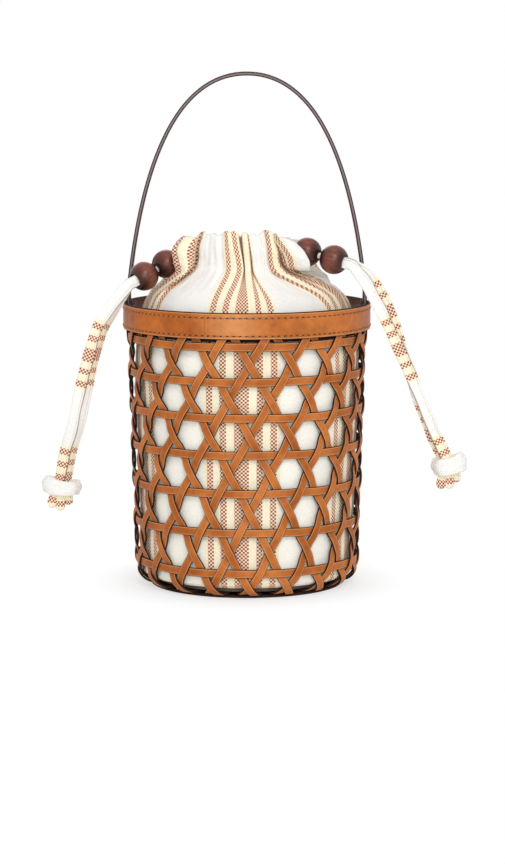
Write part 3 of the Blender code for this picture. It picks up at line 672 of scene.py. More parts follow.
# %% [markdown]
# ## The handle
# One strap of two leather layers, glued and painted where it is cut, with a painted highlight along the
# middle of its rounded edge, rises out of the rim and arches over the mouth. On the real bag it
# simply bends when it is pushed aside. So the strap is one piece from tab to tab, and it stands in
# for the strap and both tabs.

# %% Handle strap
STRAP_STUB, HANDLE_RISE, HANDLE_LEG = 2 * MM, 163.5 * MM, 50 * MM
HANDLE_LEAN, HANDLE_CROWN, RIM_FACETS = 5.5 * MM, 63.7 * MM, 54
PIVOT_HEIGHT = BASKET_HEIGHT + STRAP_STUB + GAP + STRAP_WIDTH / 2
HANDLE_TOP = BASKET_HEIGHT + HANDLE_RISE
strap_seat = (RIM_RADIUS - RIM_LEATHER) * np.cos(np.pi / RIM_FACETS)
STRAP_X = np.sqrt(strap_seat ** 2 - (STRAP_WIDTH / 2) ** 2) - GAP - STRAP_THICKNESS / 2


def strap_line(count):
    """The strap's middle line: upright out of the rim, then a cubic Bezier to the top, and mirrored."""
    tab = np.linspace(BASKET_HEIGHT - TAB_DEPTH, PIVOT_HEIGHT, 14)[:-1]
    low = np.stack([np.full(len(tab), STRAP_X), np.zeros(len(tab)), tab], axis=1)
    t = np.linspace(0, 1, count)[:, None]
    knots = np.array([(STRAP_X, 0, PIVOT_HEIGHT), (STRAP_X - HANDLE_LEAN, 0, PIVOT_HEIGHT + HANDLE_LEG),
                      (HANDLE_CROWN, 0, HANDLE_TOP), (0, 0, HANDLE_TOP)])
    s = 1 - t
    arch = s ** 3 * knots[0] + 3 * s * s * t * knots[1] + 3 * s * t * t * knots[2] + t ** 3 * knots[3]
    half = np.concatenate([low, arch])
    return np.concatenate([half * (-1, 1, 1), half[-2::-1]])


strap_path = strap_line(110)
strap_along = unit(np.gradient(strap_path, axis=0))
strap_out = np.stack([-strap_along[:, 2], np.zeros(len(strap_path)), strap_along[:, 0]], axis=1)
strap_across = np.broadcast_to((0.0, 1.0, 0.0), strap_path.shape)
across, height, edge, _ = strip_profile(STRAP_WIDTH, STRAP_THICKNESS - 0.4 * MM, 0.8 * MM, 0.06 * MM, 9,
                                        -0.3 * MM)
# the middle of the cut edge gets an edge mark of 1.3, which carries the painted highlight on the edge paint
edge = np.where(np.abs(across) > STRAP_WIDTH / 2 - 0.02 * MM, 1.3, edge)
strap_points = (strap_path[:, None] + across[:, None] * strap_across[:, None]
                + height[:, None] * strap_out[:, None])
strap = add_surface("handle_strap_leather", strap_points, wrap=(False, True), caps=True, edge=edge, back=0.0)

strap_length = np.linalg.norm(np.diff(strap_path, axis=0), axis=1).sum()
strap.data.materials.append(strap_leather)
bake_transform(strap)
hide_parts("handle_strap", "handle_tab_left", "handle_tab_right")
print("strap:", round(float(strap_length) / MM), "mm of leather")

# %% [markdown]
# ## Walnut-stained beads
# Four turned wooden beads slide on the drawstrings. They are stained dark and waxed, so they show
# little grain and a soft highlight, and a lighter, redder belt round the middle is a painted highlight.
# Each point stores where it lies in its own bead, and so the grain runs along each bore whichever way
# the bead points.

# %% Wood finish
finish, tree, shader = new_finish("stained_walnut", Specular_IOR_Level=0.5,
                                  Specular_Tint=(1.0, 0.72, 0.62, 1.0))
spot = {axis: add_node(tree, "ShaderNodeAttribute", attribute_name=f"bead_{axis}")["Fac"] for axis in "xyz"}
local = add_node(tree, "ShaderNodeCombineXYZ", {axis.upper(): spot[axis] for axis in "xyz"})["Vector"]
long_grain = add_node(tree, "ShaderNodeMapping", {"Vector": local, "Scale": (1.0, 1.0, 0.18)})["Vector"]
streak = add_node(tree, "ShaderNodeTexNoise", {"Vector": long_grain, "Scale": 1 / (1.3 * MM), "Detail": 4.0})
ring_warp = add_node(tree, "ShaderNodeTexWave", {"Vector": long_grain, "Scale": 0.05 / (3.2 * MM),
                                                 "Distortion": 5.0, "Detail": 2.0})
figure = add_node(tree, "ShaderNodeMix", {"Factor": ring_warp["Fac"], "A": colour("2C130F"),
                                          "B": colour("48221C")}, data_type="RGBA")
fleck = add_node(tree, "ShaderNodeMapRange", {"Value": streak["Fac"], "From Min": 0.3, "From Max": 0.7,
                                              "To Min": 0.72, "To Max": 1.12})
# painted highlight: a lighter, redder belt round the middle of the bead, fading towards the bore ends
from_middle = add_node(tree, "ShaderNodeMath", {0: spot["z"]}, operation="ABSOLUTE")
belt = add_node(tree, "ShaderNodeMapRange", {"Value": from_middle["Value"], "From Min": 0.5 * MM,
                                             "From Max": 8 * MM, "To Min": 0.74, "To Max": 0.0},
                interpolation_type="SMOOTHSTEP")
worn_share = add_node(tree, "ShaderNodeMath", {0: belt["Result"], 1: fleck["Result"]}, operation="MULTIPLY")
rubbed = add_node(tree, "ShaderNodeMix", {"Factor": worn_share["Value"], "A": figure["Result"],
                                          "B": colour("84483A")}, data_type="RGBA")
stained = add_node(tree, "ShaderNodeMix", {"Factor": 1.0, "A": rubbed["Result"], "B": fleck["Result"]},
                   data_type="RGBA", blend_type="MULTIPLY")
tree.links.new(stained["Result"], shader.inputs["Base Color"])
waxed = add_node(tree, "ShaderNodeMapRange", {"Value": streak["Fac"], "To Min": 0.26, "To Max": 0.4})
tree.links.new(waxed["Result"], shader.inputs["Roughness"])
open_pore = add_node(tree, "ShaderNodeBump", {"Height": streak["Fac"], "Strength": 0.14,
                                              "Distance": 0.06 * MM})
tree.links.new(open_pore["Normal"], shader.inputs["Normal"])
walnut = finish

# %% [markdown]
# ## Where the drawstrings run
# Each drawstring comes out of the gathered casing, runs straight through its two beads, and then
# falls in a stiff curve to its knot. The route repeats the points of the solids. A smooth curve
# (Catmull-Rom) passes through all of them. The tape is drawn narrow in the inner bead and opens out
# in the outer one, so the two have bores of different size.

# %% Routes and beads
NECK_BOTTOM, NECK_RADIUS = 228 * MM, 49 * MM
BEAD_RADIUS, BEAD_STANDOFF, BEAD_TRAVEL = 10.3 * MM, 1.5 * MM, 4 * MM
BORE_RADIUS = {"inner": 3.3 * MM, "outer": 5.2 * MM}
CORD_DIAMETER, CORD_HIDDEN, KNOT_LENGTH = 8.5 * MM, 9 * MM, 15 * MM
ROUTES = {
    "left": {"seat": (-70.8, 4.9), "heading": -52.3, "dip": 21.7, "tail": [
        (-90.5, -44.0, 209.5), (-95.5, -45.2, 202.0), (-103.7, -46.5, 188.0), (-109.9, -47.0, 167.0),
        (-115.6, -47.0, 145.5), (-121.7, -47.0, 117.0), (-126.2, -47.0, 102.5), (-129.0, -47.0, 88.5)]},
    "right": {"seat": (44.5, 15.2), "heading": 66.5, "dip": 13.0, "tail": [
        (84.0, -59.5, 226.5), (90.5, -60.0, 215.0), (97.0, -60.0, 203.0), (106.8, -60.0, 179.5),
        (115.4, -60.0, 158.0), (123.5, -60.0, 136.6), (131.8, -60.0, 116.0), (137.0, -60.0, 105.0)]},
}


def smooth_path(points, count):
    """A Catmull-Rom curve: each span leaves along the line between its neighbours, count points a span."""
    ends = np.concatenate([[2 * points[0] - points[1]], points, [2 * points[-1] - points[-2]]])
    a, b, c, d = (ends[n:len(ends) - 3 + n][:, None] for n in range(4))
    t = (np.arange(count) / count)[None, :, None]
    curve = b + 0.5 * t * (c - a + t * (2 * a - 5 * b + 4 * c - d + t * (3 * b - 3 * c + d - a)))
    return np.concatenate([curve.reshape(-1, 3), points[-1:]])


def even_path(points, step):
    """The same line again, with points one step apart."""
    run = np.concatenate([[0], np.cumsum(np.linalg.norm(np.diff(points, axis=0), axis=1))])
    at = np.linspace(0, run[-1], int(np.ceil(run[-1] / step)) + 1)
    return np.stack([np.interp(at, run, points[:, n]) for n in range(3)], axis=1), at


def turned_bead(name, middle, way, bore):
    """A bead: a circle's arc with its bore's rounded lips, turned about its own axis."""
    lip = 0.5 * MM
    limit = np.arccos((bore + lip) / BEAD_RADIUS)
    arc = np.linspace(limit, -limit, 33)
    end = BEAD_RADIUS * np.sin(limit)
    turn = np.radians([30, 60, 90])
    lip_r, lip_z = bore + lip * (1 - np.sin(turn)), end - lip * (1 - np.cos(turn))
    radius = np.concatenate([BEAD_RADIUS * np.cos(arc), lip_r, lip_r[::-1]])
    along = np.concatenate([BEAD_RADIUS * np.sin(arc), -lip_z, lip_z[::-1]])
    round_it = np.arange(56)[:, None] * 2 * np.pi / 56
    local = np.stack(np.broadcast_arrays(radius * np.cos(round_it), radius * np.sin(round_it), along),
                     axis=-1)
    side = unit(np.cross(way, (0.0, 1.0, 0.0)))
    axes = np.stack([side, np.cross(way, side), way])
    return add_surface(name, middle + local @ axes, wrap=(True, True),
                       bead_x=local[..., 0], bead_y=local[..., 1], bead_z=local[..., 2])


threads, bead_pieces = {}, {}
for word, route in ROUTES.items():
    seat = plan(np.radians(route["seat"][0]), NECK_RADIUS + BEAD_STANDOFF + BEAD_RADIUS,
                NECK_BOTTOM + route["seat"][1] * MM)
    heading, dip = np.radians((route["heading"], route["dip"]))
    way = plan(heading, np.cos(dip), -np.sin(dip))
    start = seat - way * (BEAD_RADIUS + BEAD_STANDOFF + CORD_HIDDEN)
    bend = seat + way * (3 * BEAD_RADIUS + 2 * GAP + BEAD_TRAVEL)
    tail = smooth_path(np.concatenate([[bend], np.array(route["tail"]) * MM]), 12)
    path, run = even_path(np.concatenate([[start], tail]), 1.5 * MM)
    threads[word] = path, run
    bead_pieces[word] = []
    for place, steps in (("inner", 0), ("outer", 1)):
        middle = seat + steps * (2 * BEAD_RADIUS + GAP) * way
        solid = f"bead_{word}_{place}"
        bead = turned_bead(f"turned_{solid}", middle, way, BORE_RADIUS[place])
        bead_pieces[word].append(dress(bead, walnut, solid, "walnut", solid))
    print(f"drawstring {word}:", round(run[-1] / MM), "mm long, with", len(bead_pieces[word]), "beads")

# %% [markdown]
# ## Striped canvas
# The pouch and its drawstrings are one cotton canvas, woven in white with clusters of rust stripes on
# a cream ground: two thin, one wide, two thin. The rust threads show as small checks. The cloth's own
# map holds real metres across and along the stripes, so the same stripes fit the pouch, the
# drawstrings and the knots. Inside the basket a mark whitens the cloth as painted light against the
# shade of the strips, and a second mark adds painted shade on the edge where one drawstring strand
# meets the other, with a darker line along the seam. Threads of 0.5 mm would be lost in the picture,
# so the weave is drawn at 0.9 mm and the checks, which are some 0.8 mm on the cloth, at 1.3 mm.

# %% Canvas finish
STRIPE_PERIOD = 92 * MM
THIN, CREAM_GAP, WIDE = 4.2 * MM, 4.9 * MM, 9.8 * MM
CHECK, WEAVE_PITCH = 1.32 * MM, 0.9 * MM
CREAM_MARGIN = 2.4 * MM
half_cluster = (CREAM_MARGIN, THIN, CREAM_GAP, THIN, CREAM_GAP)
stripe_widths = (*half_cluster, WIDE, *half_cluster[::-1])
stripe_edges = np.concatenate([[0.0], np.cumsum(stripe_widths)])
CLUSTER = stripe_edges[-1]

finish, tree, shader = new_finish("striped_cotton_canvas", Roughness=0.88, Specular_IOR_Level=0.2,
                                  Sheen_Weight=0.12, Sheen_Roughness=0.5)
cloth_map = add_node(tree, "ShaderNodeUVMap", uv_map="cloth")["UV"]
slub = add_node(tree, "ShaderNodeTexNoise", {"Vector": cloth_map, "Scale": 1 / (1.6 * MM), "Detail": 3.0})
wobble = add_node(tree, "ShaderNodeMath", {0: slub["Fac"], 1: 0.35 * MM}, operation="MULTIPLY")
split = add_node(tree, "ShaderNodeSeparateXYZ", {"Vector": cloth_map})
uneven = add_node(tree, "ShaderNodeMath", {0: split["X"], 1: wobble["Value"]}, operation="ADD")
folded = add_node(tree, "ShaderNodeMath", {0: uneven["Value"], 1: STRIPE_PERIOD}, operation="FLOORED_MODULO")
share = add_node(tree, "ShaderNodeMath", {0: folded["Value"], 1: STRIPE_PERIOD}, operation="DIVIDE")
ramp_out = add_node(tree, "ShaderNodeValToRGB", {"Fac": share["Value"]})
ramp = tree.nodes[-1].color_ramp
ramp.interpolation = "CONSTANT"
ramp.elements.remove(ramp.elements[1])
ramp.elements[0].color = (0.0, 1.0, 0.0, 1.0)
for number, at in enumerate(stripe_edges[1:-1], 1):
    ramp.elements.new(at / STRIPE_PERIOD).color = (float(number % 2), 1.0, 0.0, 1.0)
ramp.elements.new(CLUSTER / STRIPE_PERIOD).color = (0.0, 0.0, 0.0, 1.0)
bands = add_node(tree, "ShaderNodeSeparateColor", {"Color": ramp_out["Color"]})
check_map = add_node(tree, "ShaderNodeMapping", {"Vector": cloth_map, "Scale": (1 / CHECK, 1 / CHECK, 1.0)})
checks = add_node(tree, "ShaderNodeTexChecker", {"Vector": check_map["Vector"], "Scale": 1.0})
rust = add_node(tree, "ShaderNodeMix", {"Factor": checks["Fac"], "A": colour("9E4A26"),
                                        "B": colour("FCE5CA")}, data_type="RGBA")
# painted light: this mark whitens the cloth inside the basket against the shade of the strips
sheltered = add_node(tree, "ShaderNodeAttribute", attribute_name="sheltered")["Fac"]
white = add_node(tree, "ShaderNodeMix", {"Factor": sheltered, "A": colour("F5F3EF"), "B": colour("FDF9EE")},
                 data_type="RGBA")
ground = add_node(tree, "ShaderNodeMix", {"Factor": bands["Green"], "A": white["Result"],
                                          "B": colour("FBF0D3")}, data_type="RGBA")
woven = add_node(tree, "ShaderNodeMix", {"Factor": bands["Red"], "A": ground["Result"], "B": rust["Result"]},
                 data_type="RGBA")
handled = add_node(tree, "ShaderNodeTexNoise", {"Vector": cloth_map, "Scale": 1 / (38 * MM), "Detail": 4.0})
toned = add_node(tree, "ShaderNodeMapRange", {"Value": handled["Fac"], "From Min": 0.3, "From Max": 0.7,
                                              "To Min": 0.95, "To Max": 1.02})
thread_tone = add_node(tree, "ShaderNodeMapRange", {"Value": slub["Fac"], "From Min": 0.3, "From Max": 0.7,
                                                    "To Min": 0.93, "To Max": 1.03})
variation = add_node(tree, "ShaderNodeMath", {0: toned["Result"], 1: thread_tone["Result"]},
                     operation="MULTIPLY")
cloth_colour = add_node(tree, "ShaderNodeMix", {"Factor": 1.0, "A": woven["Result"], "B": variation["Value"]},
                        data_type="RGBA", blend_type="MULTIPLY")
# painted shade where one strand meets the other, and a darker line along the seam
fold = add_node(tree, "ShaderNodeAttribute", attribute_name="fold")["Fac"]
creased = add_node(tree, "ShaderNodeMix", {"Factor": fold, "A": cloth_colour["Result"],
                                           "B": colour("7A5A48")}, data_type="RGBA")
tree.links.new(creased["Result"], shader.inputs["Base Color"])
weave_scale = (2 * np.pi / WEAVE_PITCH,) * 3
weave_map = add_node(tree, "ShaderNodeMapping", {"Vector": cloth_map, "Scale": weave_scale})
wave_split = add_node(tree, "ShaderNodeSeparateXYZ", {"Vector": weave_map["Vector"]})
warp = add_node(tree, "ShaderNodeMath", {0: wave_split["X"]}, operation="SINE")
weft = add_node(tree, "ShaderNodeMath", {0: wave_split["Y"]}, operation="SINE")
over = add_node(tree, "ShaderNodeMath", {0: warp["Value"], 1: weft["Value"]}, operation="MULTIPLY")
lumpy = add_node(tree, "ShaderNodeMath", {0: slub["Fac"], 1: 2.0, 2: over["Value"]}, operation="MULTIPLY_ADD")
cloth_bump = add_node(tree, "ShaderNodeBump", {"Height": lumpy["Value"], "Strength": 0.22,
                                               "Distance": 0.12 * MM})
tree.links.new(cloth_bump["Normal"], shader.inputs["Normal"])
canvas = finish
print("stripe cluster:", round(CLUSTER / MM, 1), "mm in every", round(STRIPE_PERIOD / MM, 1), "mm")

# %% [markdown]
# ## The drawstrings
# A drawstring here is a long tape of folded canvas, doubled, so two flat strands leave each side.
# They lie one on the other through the beads, squeezed in the inner one and filling the outer one,
# and spread a little below them. Each strand is a flat pillow-shaped section carried along the route,
# shifted to its own side and rolled a little, and the stripes run across it. In the table, first is
# where its first stripe starts, front how far it lies to the front, and side (mm) and roll (degrees)
# follow the distance in mm below the beads.

# %% Drawstrings
TAPE_WIDTH, TAPE_THICKNESS = 8.2 * MM, 2.4 * MM
STRANDS = {
    "left": [
        {"first": 88.1, "front": 1.3, "side": [(0, 0), (30, -2.4), (120, -2.4)],
         "roll": [(0, 0), (30, 8), (110, 10), (140, 28)]},
        {"first": 86.0, "front": -1.8, "side": [(0, 0), (30, 2.6), (120, 2.2)],
         "roll": [(0, 0), (20, -50), (65, -56), (100, -24), (140, -40)]}],
    "right": [
        {"first": 72.6, "front": -1.8, "roll": [(0, 0), (25, 16), (90, 8), (140, 20)],
         "side": [(0, 1.0), (12, 2.9), (45, 3.0), (80, 1.2), (110, -0.9), (140, -1.4)]},
        {"first": 99.6, "front": 1.3, "roll": [(0, 0), (25, -12), (90, -4), (140, -16)],
         "side": [(0, -0.8), (12, -2.4), (45, -2.4), (80, -0.6), (110, 0.8), (140, 1.2)]}],
}
KNOT_DROP, IN_BORE = 5 * MM, 1.9


def pillow(width, thickness, count=40):
    """A flat oval loop: cosine and sine raised to a power below one, which squares them off, with a dip
    on the face near one side where the folded edge of the tape is sewn down."""
    turn = np.arange(count) * 2 * np.pi / count
    x, y = np.cos(turn), np.sin(turn)
    wide, high = np.sign(x) * np.abs(x) ** 0.75, np.sign(y) * np.abs(y) ** 0.7
    seam = 1 - 0.7 * np.exp(-((wide - 0.52) / 0.09) ** 2)
    return width / 2 * wide, thickness / 2 * high * seam


def path_frame(path):
    """The direction along a path, the one to its side in the picture, and the one towards the viewer."""
    along = unit(np.gradient(path, axis=0))
    side = unit(np.cross(along, (0.0, 1.0, 0.0)))
    return along, side, np.cross(along, side)


def white_before(run):
    """Keep the cloth white before its first stripe: where run is negative, a triangle wave inside the
    white band."""
    white = (STRIPE_PERIOD - CLUSTER) * 0.9
    return np.where(run < 0, np.abs(white - (-run) % (2 * white)) - white, run)


def tape(path, cloth, offset_side, offset_front, roll, width, thickness):
    """A pillow section carried along a path: shifted to the side and front, and rolled, with its map in
    metres."""
    along, side, front = path_frame(path)
    turn = np.radians(roll)[:, None]
    flat = np.cos(turn) * side + np.sin(turn) * front
    thick = -np.sin(turn) * side + np.cos(turn) * front
    x, y = pillow(1.0, 1.0)
    points = ((path + offset_side[:, None] * side + offset_front[:, None] * front)[:, None]
              + (x * width[:, None])[..., None] * flat[:, None]
              + (y * thickness[:, None])[..., None] * thick[:, None])
    u = np.repeat(cloth[:, None], len(x) + 1, axis=1)
    v = np.broadcast_to(np.concatenate([x, x[:1]]) * TAPE_WIDTH, u.shape)
    return points, np.stack([u, v], axis=-1)


def along_tail(table, run):
    """A value along a drawstring, read between (mm below the beads, value) pairs, with rounded corners."""
    at, values = np.array(table, float).T
    read = np.interp(np.linspace(-10, 10, 9)[:, None] * MM + run, at * MM, values)
    return read.mean(axis=0)


cords, cord_lines = {}, {}
for word, (path, run) in threads.items():
    into_knot = np.arange(1, 10) * MM
    path = np.concatenate([path, path[-1] + np.outer(into_knot, unit(path[-1] - path[-2]))])
    run = np.append(run, run[-1] + into_knot)
    cord_lines[word] = path, float(run[-1])
    below = run - (4 * BEAD_RADIUS + BEAD_STANDOFF + CORD_HIDDEN)
    spread = smooth_step(3 * MM, 15 * MM, below)
    full = 0.52 + 0.48 * smooth_step(-14 * MM, -4 * MM, below)
    grids, maps, folds = [], [], []
    for strand, other in zip(STRANDS[word], STRANDS[word][::-1]):
        toward = np.sign(along_tail(other["side"], below) - along_tail(strand["side"], below))
        wide = pillow(2.0, 2.0)[0]
        # painted shade on the edge of each strand that meets the other, plus a darker line along the seam
        folds.append(0.75 * smooth_step(0.74, 1.0, toward[:, None] * wide)
                     + 0.25 * np.exp(-((wide - 0.52) / 0.07) ** 2))
        crumple = (0.05 * np.sin(run / (9 * MM) + strand["first"])
                   + 0.04 * np.sin(run / (4.3 * MM) + 2 * strand["first"]))
        points, cloth_uv = tape(
            path, white_before(run - strand["first"] * MM), along_tail(strand["side"], below) * MM * spread,
            (strand["front"] * spread + IN_BORE * np.sign(strand["front"]) * (1 - spread)) * full * MM,
            along_tail(strand["roll"], below) * spread + 3 * np.sin(run / (17 * MM)),
            TAPE_WIDTH * full * (1 + crumple * spread),
            TAPE_THICKNESS * full * (1 + 2 * crumple * spread + 0.67 * (1 - spread)))
        grids.append(points)
        maps.append(cloth_uv)
    cord = add_surface(f"canvas_drawstring_{word}", np.stack(grids), wrap=(False, True), caps=True,
                       uv=np.stack(maps), fold=np.stack(folds))
    cords[word] = dress(cord, canvas, f"drawstring_{word}", "striped_canvas", f"drawstring_{word}")
print("drawstrings:", [cord.name for cord in cords.values()])

# %% [markdown]
# ## The knots
# Both strands end in one overhand knot. What shows is the turn that wraps round the pair, a fat soft
# roll that is pinched where it tucks in, and the short ends below it, folded over and rounded. The
# roll is an oval ring with a flat section; it could be a curve tied through itself, but the turn
# hides all of that. Each end in the table is its shift and sweep to the side, depth, length and first
# stripe, in mm.

# %% Knots
WRAP_WHITE = (CLUSTER + STRIPE_PERIOD) / 2
KNOTS = {
    "left": {"wide": 10.8, "tall": 5.5, "tilt": -0.06, "smile": 1.3, "tuck": 0.35,
             "ends": [(-5.4, -1.5, 0.9, 15.5, 4.0), (-0.2, 0.6, 1.7, 16.5, 26.0),
                      (4.8, 2.4, -0.8, 12.0, 12.0)]},
    "right": {"wide": 9.4, "tall": 6.2, "tilt": 0.22, "smile": 0.9, "tuck": 2.8,
              "ends": [(-6.2, -3.0, 0.9, 15.0, 12.0), (-0.6, -2.5, 1.7, 16.0, 3.0),
                       (4.8, -3.5, -0.6, 13.0, 24.0)]},
}


def knot_turn(name, heart, along, side, front, knot):
    """An oval ring of cloth: a flat section carried round an ellipse, pinched at the tuck and lifted at
    both sides."""
    turn = np.arange(84) * 2 * np.pi / 84
    phi = np.arange(30) * 2 * np.pi / 30
    square = lambda v, power: np.sign(v) * np.abs(v) ** power
    ribs = 1 + 0.07 * np.cos(5 * phi + 0.6)[None, :] * (1 + 0.6 * np.sin(2 * turn + 1))[:, None]
    pinch = np.exp(-(np.angle(np.exp(1j * (turn - knot["tuck"]))) / 0.5) ** 2)[:, None]
    soft = 1 + 0.05 * np.sin(3 * turn + 1)[:, None]
    x = 3.6 * MM * square(np.cos(phi), 0.8)[None, :] * ribs * (1 - 0.3 * pinch) * soft
    y = knot["tall"] * MM * square(np.sin(phi), 0.75)[None, :] * ribs * (1 - 0.28 * pinch) * soft
    wide, deep = knot["wide"] * MM * (1 - 0.06 * pinch) + x, 5.6 * MM + x
    level = y - knot["smile"] * MM * (np.cos(turn) ** 2)[:, None]
    points = (heart + (wide * np.cos(turn)[:, None])[..., None] * side
              + (deep * np.sin(turn)[:, None])[..., None] * front + level[..., None] * along)
    u = WRAP_WHITE + np.linspace(-13, 13, 85)[:, None] * MM + 0 * np.append(phi, 0)[None, :]
    v = np.broadcast_to(np.append(phi, 2 * np.pi)[None, :] * 5.5 * MM, u.shape)
    return add_surface(name, points, wrap=(True, True), uv=np.stack([u, v], axis=-1))


def knot_ends(name, heart, along, side, front, knot):
    """Short fat ends: each leaves the knot along the cord, turns down and is rounded off at its tip."""
    share = 1 - (1 - np.linspace(0, 1, 26)) ** 2
    down = unit(along + np.array([0.0, 0.0, -0.5]))
    grids, maps = [], []
    for shift, sweep, depth, length, first in knot["ends"]:
        line = (heart + np.outer(share, down) * length * MM + depth * MM * front
                + np.outer(shift * smooth_step(-0.3, 0.7, share) + sweep * 0.4 * share ** 2, side) * MM)
        rounded = np.sqrt(np.clip(1 - share ** 9, 0.02, 1))
        lumpy = 1 + 0.08 * np.sin(9 * share + shift)
        points, cloth_uv = tape(line, first * MM + share * length * MM, 0 * share, 0 * share,
                                16 * np.sin(3 * share + shift), 7.0 * MM * rounded * lumpy,
                                4.6 * MM * rounded)
        grids.append(points)
        maps.append(cloth_uv)
    return add_surface(name, np.stack(grids), wrap=(False, True), caps=True, uv=np.stack(maps))


for word, knot in KNOTS.items():
    path = threads[word][0]
    along, side, front = (axis[-1] for axis in path_frame(path))
    heart = path[-1] + along * (KNOT_LENGTH / 2 + GAP + KNOT_DROP)
    cos, sin = np.cos(knot["tilt"]), np.sin(knot["tilt"])
    along, side = cos * along - sin * side, cos * side + sin * along
    turn_piece = knot_turn(f"knot_{word}_turn", heart, along, side, front, knot)
    dress(turn_piece, canvas, f"drawstring_{word}", "striped_canvas", f"knot_{word}")
    ends_piece = knot_ends(f"knot_{word}_ends", heart, along, side, front, knot)
    dress(ends_piece, canvas, f"drawstring_{word}", "striped_canvas")

# %% [markdown]
# ## The pouch
# The pouch is a bag of canvas that stands on the base, follows the basket, draws in over the rim and
# is gathered on the drawstrings; above the gathers the casing stands up as a ruffle and is turned in.
# It is one sheet: a profile from the middle of the floor to the top, turned about Z. At the neck each
# part of the cloth is led to its place in the gathers: pleats that swallow a stripe, smooth panels,
# and a roll on each side that leans over a bead. A cloth simulation would gather it too, but not in
# the photograph's own folds, so the gathers are drawn as a plan and the cloth flows into them from
# the shoulder.

# %% Pouch profile
POUCH_PROFILE = np.array([
    (2, 7.2), (40, 7.2), (68, 7.3), (74.6, 8.2), (76.6, 11.5), (77.4, 50), (79.2, 110), (80.6, 160),
    (79.0, 182), (75.5, 200), (69.5, 211.5), (58.5, 221.5), (49, 229.5), (47.2, 236), (48, 244),
    (47, 251), (46.2, 254.5)]) * MM
STRIPE_TURNS = 5
STRIPE_CENTRE = np.radians(-2.7)

profile_line, profile_at = even_path(smooth_path(np.pad(POUCH_PROFILE, ((0, 0), (0, 1))), 14), 0.5 * MM)
corner_at, rim_at = (np.interp(level * MM, profile_line[:, 1], profile_at) for level in (16, 188))
row_at = np.concatenate([np.linspace(0, corner_at, 16), np.linspace(corner_at, rim_at, 26)[1:],
                         np.linspace(rim_at, profile_at[-1], 48)[1:]])
pouch_r, pouch_z = (np.interp(row_at, profile_at, profile_line[:, n]) for n in (0, 1))
print("pouch profile:", len(row_at), "rows over", round(profile_at[-1] / MM), "mm")

# %% [markdown]
# The gathers in plan, as the cloth runs round from the left drawstring, over the front, to the right
# one: how far round the cloth (mm from the middle of the front's wide stripe), and where it lies (mm
# to the right, mm from front to back). Behind, the gathers are even.

# %% Gathers
FRONT_GATHERS = np.array([
    (-103, -45.5, -14.5), (-100, -47, -20), (-97, -48, -25.5), (-94, -51.5, -31), (-90, -52.5, -37),
    (-85.5, -46.5, -41.5), (-80.5, -40.5, -39.5), (-77, -37.8, -33.5), (-74, -38.6, -26.5),
    (-71, -36, -24), (-68, -35.8, -29.5), (-64, -35.5, -33.8), (-56, -32, -37.2), (-45, -26.5, -41.2),
    (-34, -20.5, -44.2), (-27, -16.5, -45.2), (-22, -13.4, -47.6), (-17, -9.8, -49.6),
    (-12.5, -5.3, -50.2), (-8, -2.4, -49), (-4, -2, -46), (0, -1.7, -42), (3.5, -1.4, -46),
    (6, -0.8, -49.3), (8.5, 1.6, -50.2), (10.6, 3.2, -48.4), (14, 3.5, -43.6), (19, 3.7, -43.8),
    (23.5, 4.3, -47.6), (28, 6.5, -49), (40, 10, -48.6), (52, 13, -47.3), (62, 15.3, -45),
    (66, 15.8, -43.6), (69, 16.4, -46.6), (72, 18.5, -48.2), (77, 22.5, -46.7), (81, 24.8, -42.5),
    (86, 25.4, -35), (91, 26.4, -42.2), (95, 28.2, -45.4), (99, 29, -41), (103, 28.6, -37),
    (106, 29.6, -45.5), (110, 30.6, -52), (115, 34.5, -57), (120, 40, -58.8), (124, 45, -56.8),
    (127, 44.3, -55.7), (130, 38.5, -54.2), (133, 33, -49.8), (136, 31, -43), (139, 33.2, -36.8),
    (142, 36.2, -33)])
BACK_FOLDS = 13
CLOTH_ROUND = STRIPE_TURNS * STRIPE_PERIOD / MM
GATHER_RADIUS = 48.0

back_share = np.arange(1, 2 * BACK_FOLDS) / (2 * BACK_FOLDS)
first, last = FRONT_GATHERS[0], FRONT_GATHERS[-1]
back_from, back_to = np.arctan2(last[1], -last[2]), np.arctan2(first[1], -first[2]) + 2 * np.pi
back_angle = back_from + (back_to - back_from) * back_share + 0.03 * rng.uniform(-1, 1, len(back_share))
in_or_out = np.where(np.arange(len(back_share)) % 2, 1, -1)
back_radius = GATHER_RADIUS + 3.4 * in_or_out * rng.uniform(0.6, 1.2, len(back_share))
back_cloth = last[0] + (first[0] + CLOTH_ROUND - last[0]) * back_share
back_gathers = np.stack([back_cloth, back_radius * np.sin(back_angle), -back_radius * np.cos(back_angle)],
                        axis=1)
gathers = np.concatenate([FRONT_GATHERS, back_gathers])
once = np.array([CLOTH_ROUND, 0.0, 0.0])
gather_line = smooth_path(np.concatenate([gathers[-2:] - once, gathers, gathers[:2] + once]), 6)
gather_line = gather_line[12:12 + 6 * len(gathers)]
cloth_at = gather_line[:, 0] * MM
wall_angle = STRIPE_CENTRE + cloth_at * 2 * np.pi / (STRIPE_TURNS * STRIPE_PERIOD)
neck_angle = np.unwrap(np.arctan2(gather_line[:, 1], -gather_line[:, 2]))
neck_push = np.hypot(gather_line[:, 1], gather_line[:, 2]) - GATHER_RADIUS
print("gathers:", len(gathers), "points,", len(cloth_at), "columns of cloth")

# %% Pouch sheet
CASING_GAP, HEM_ROWS = 1.0 * MM, 16


def at_height(table):
    """A value for each row of the profile, read between (height in mm, value) pairs."""
    heights, values = np.array(table, float).T
    return np.interp(pouch_z / MM, heights, values)[:, None]


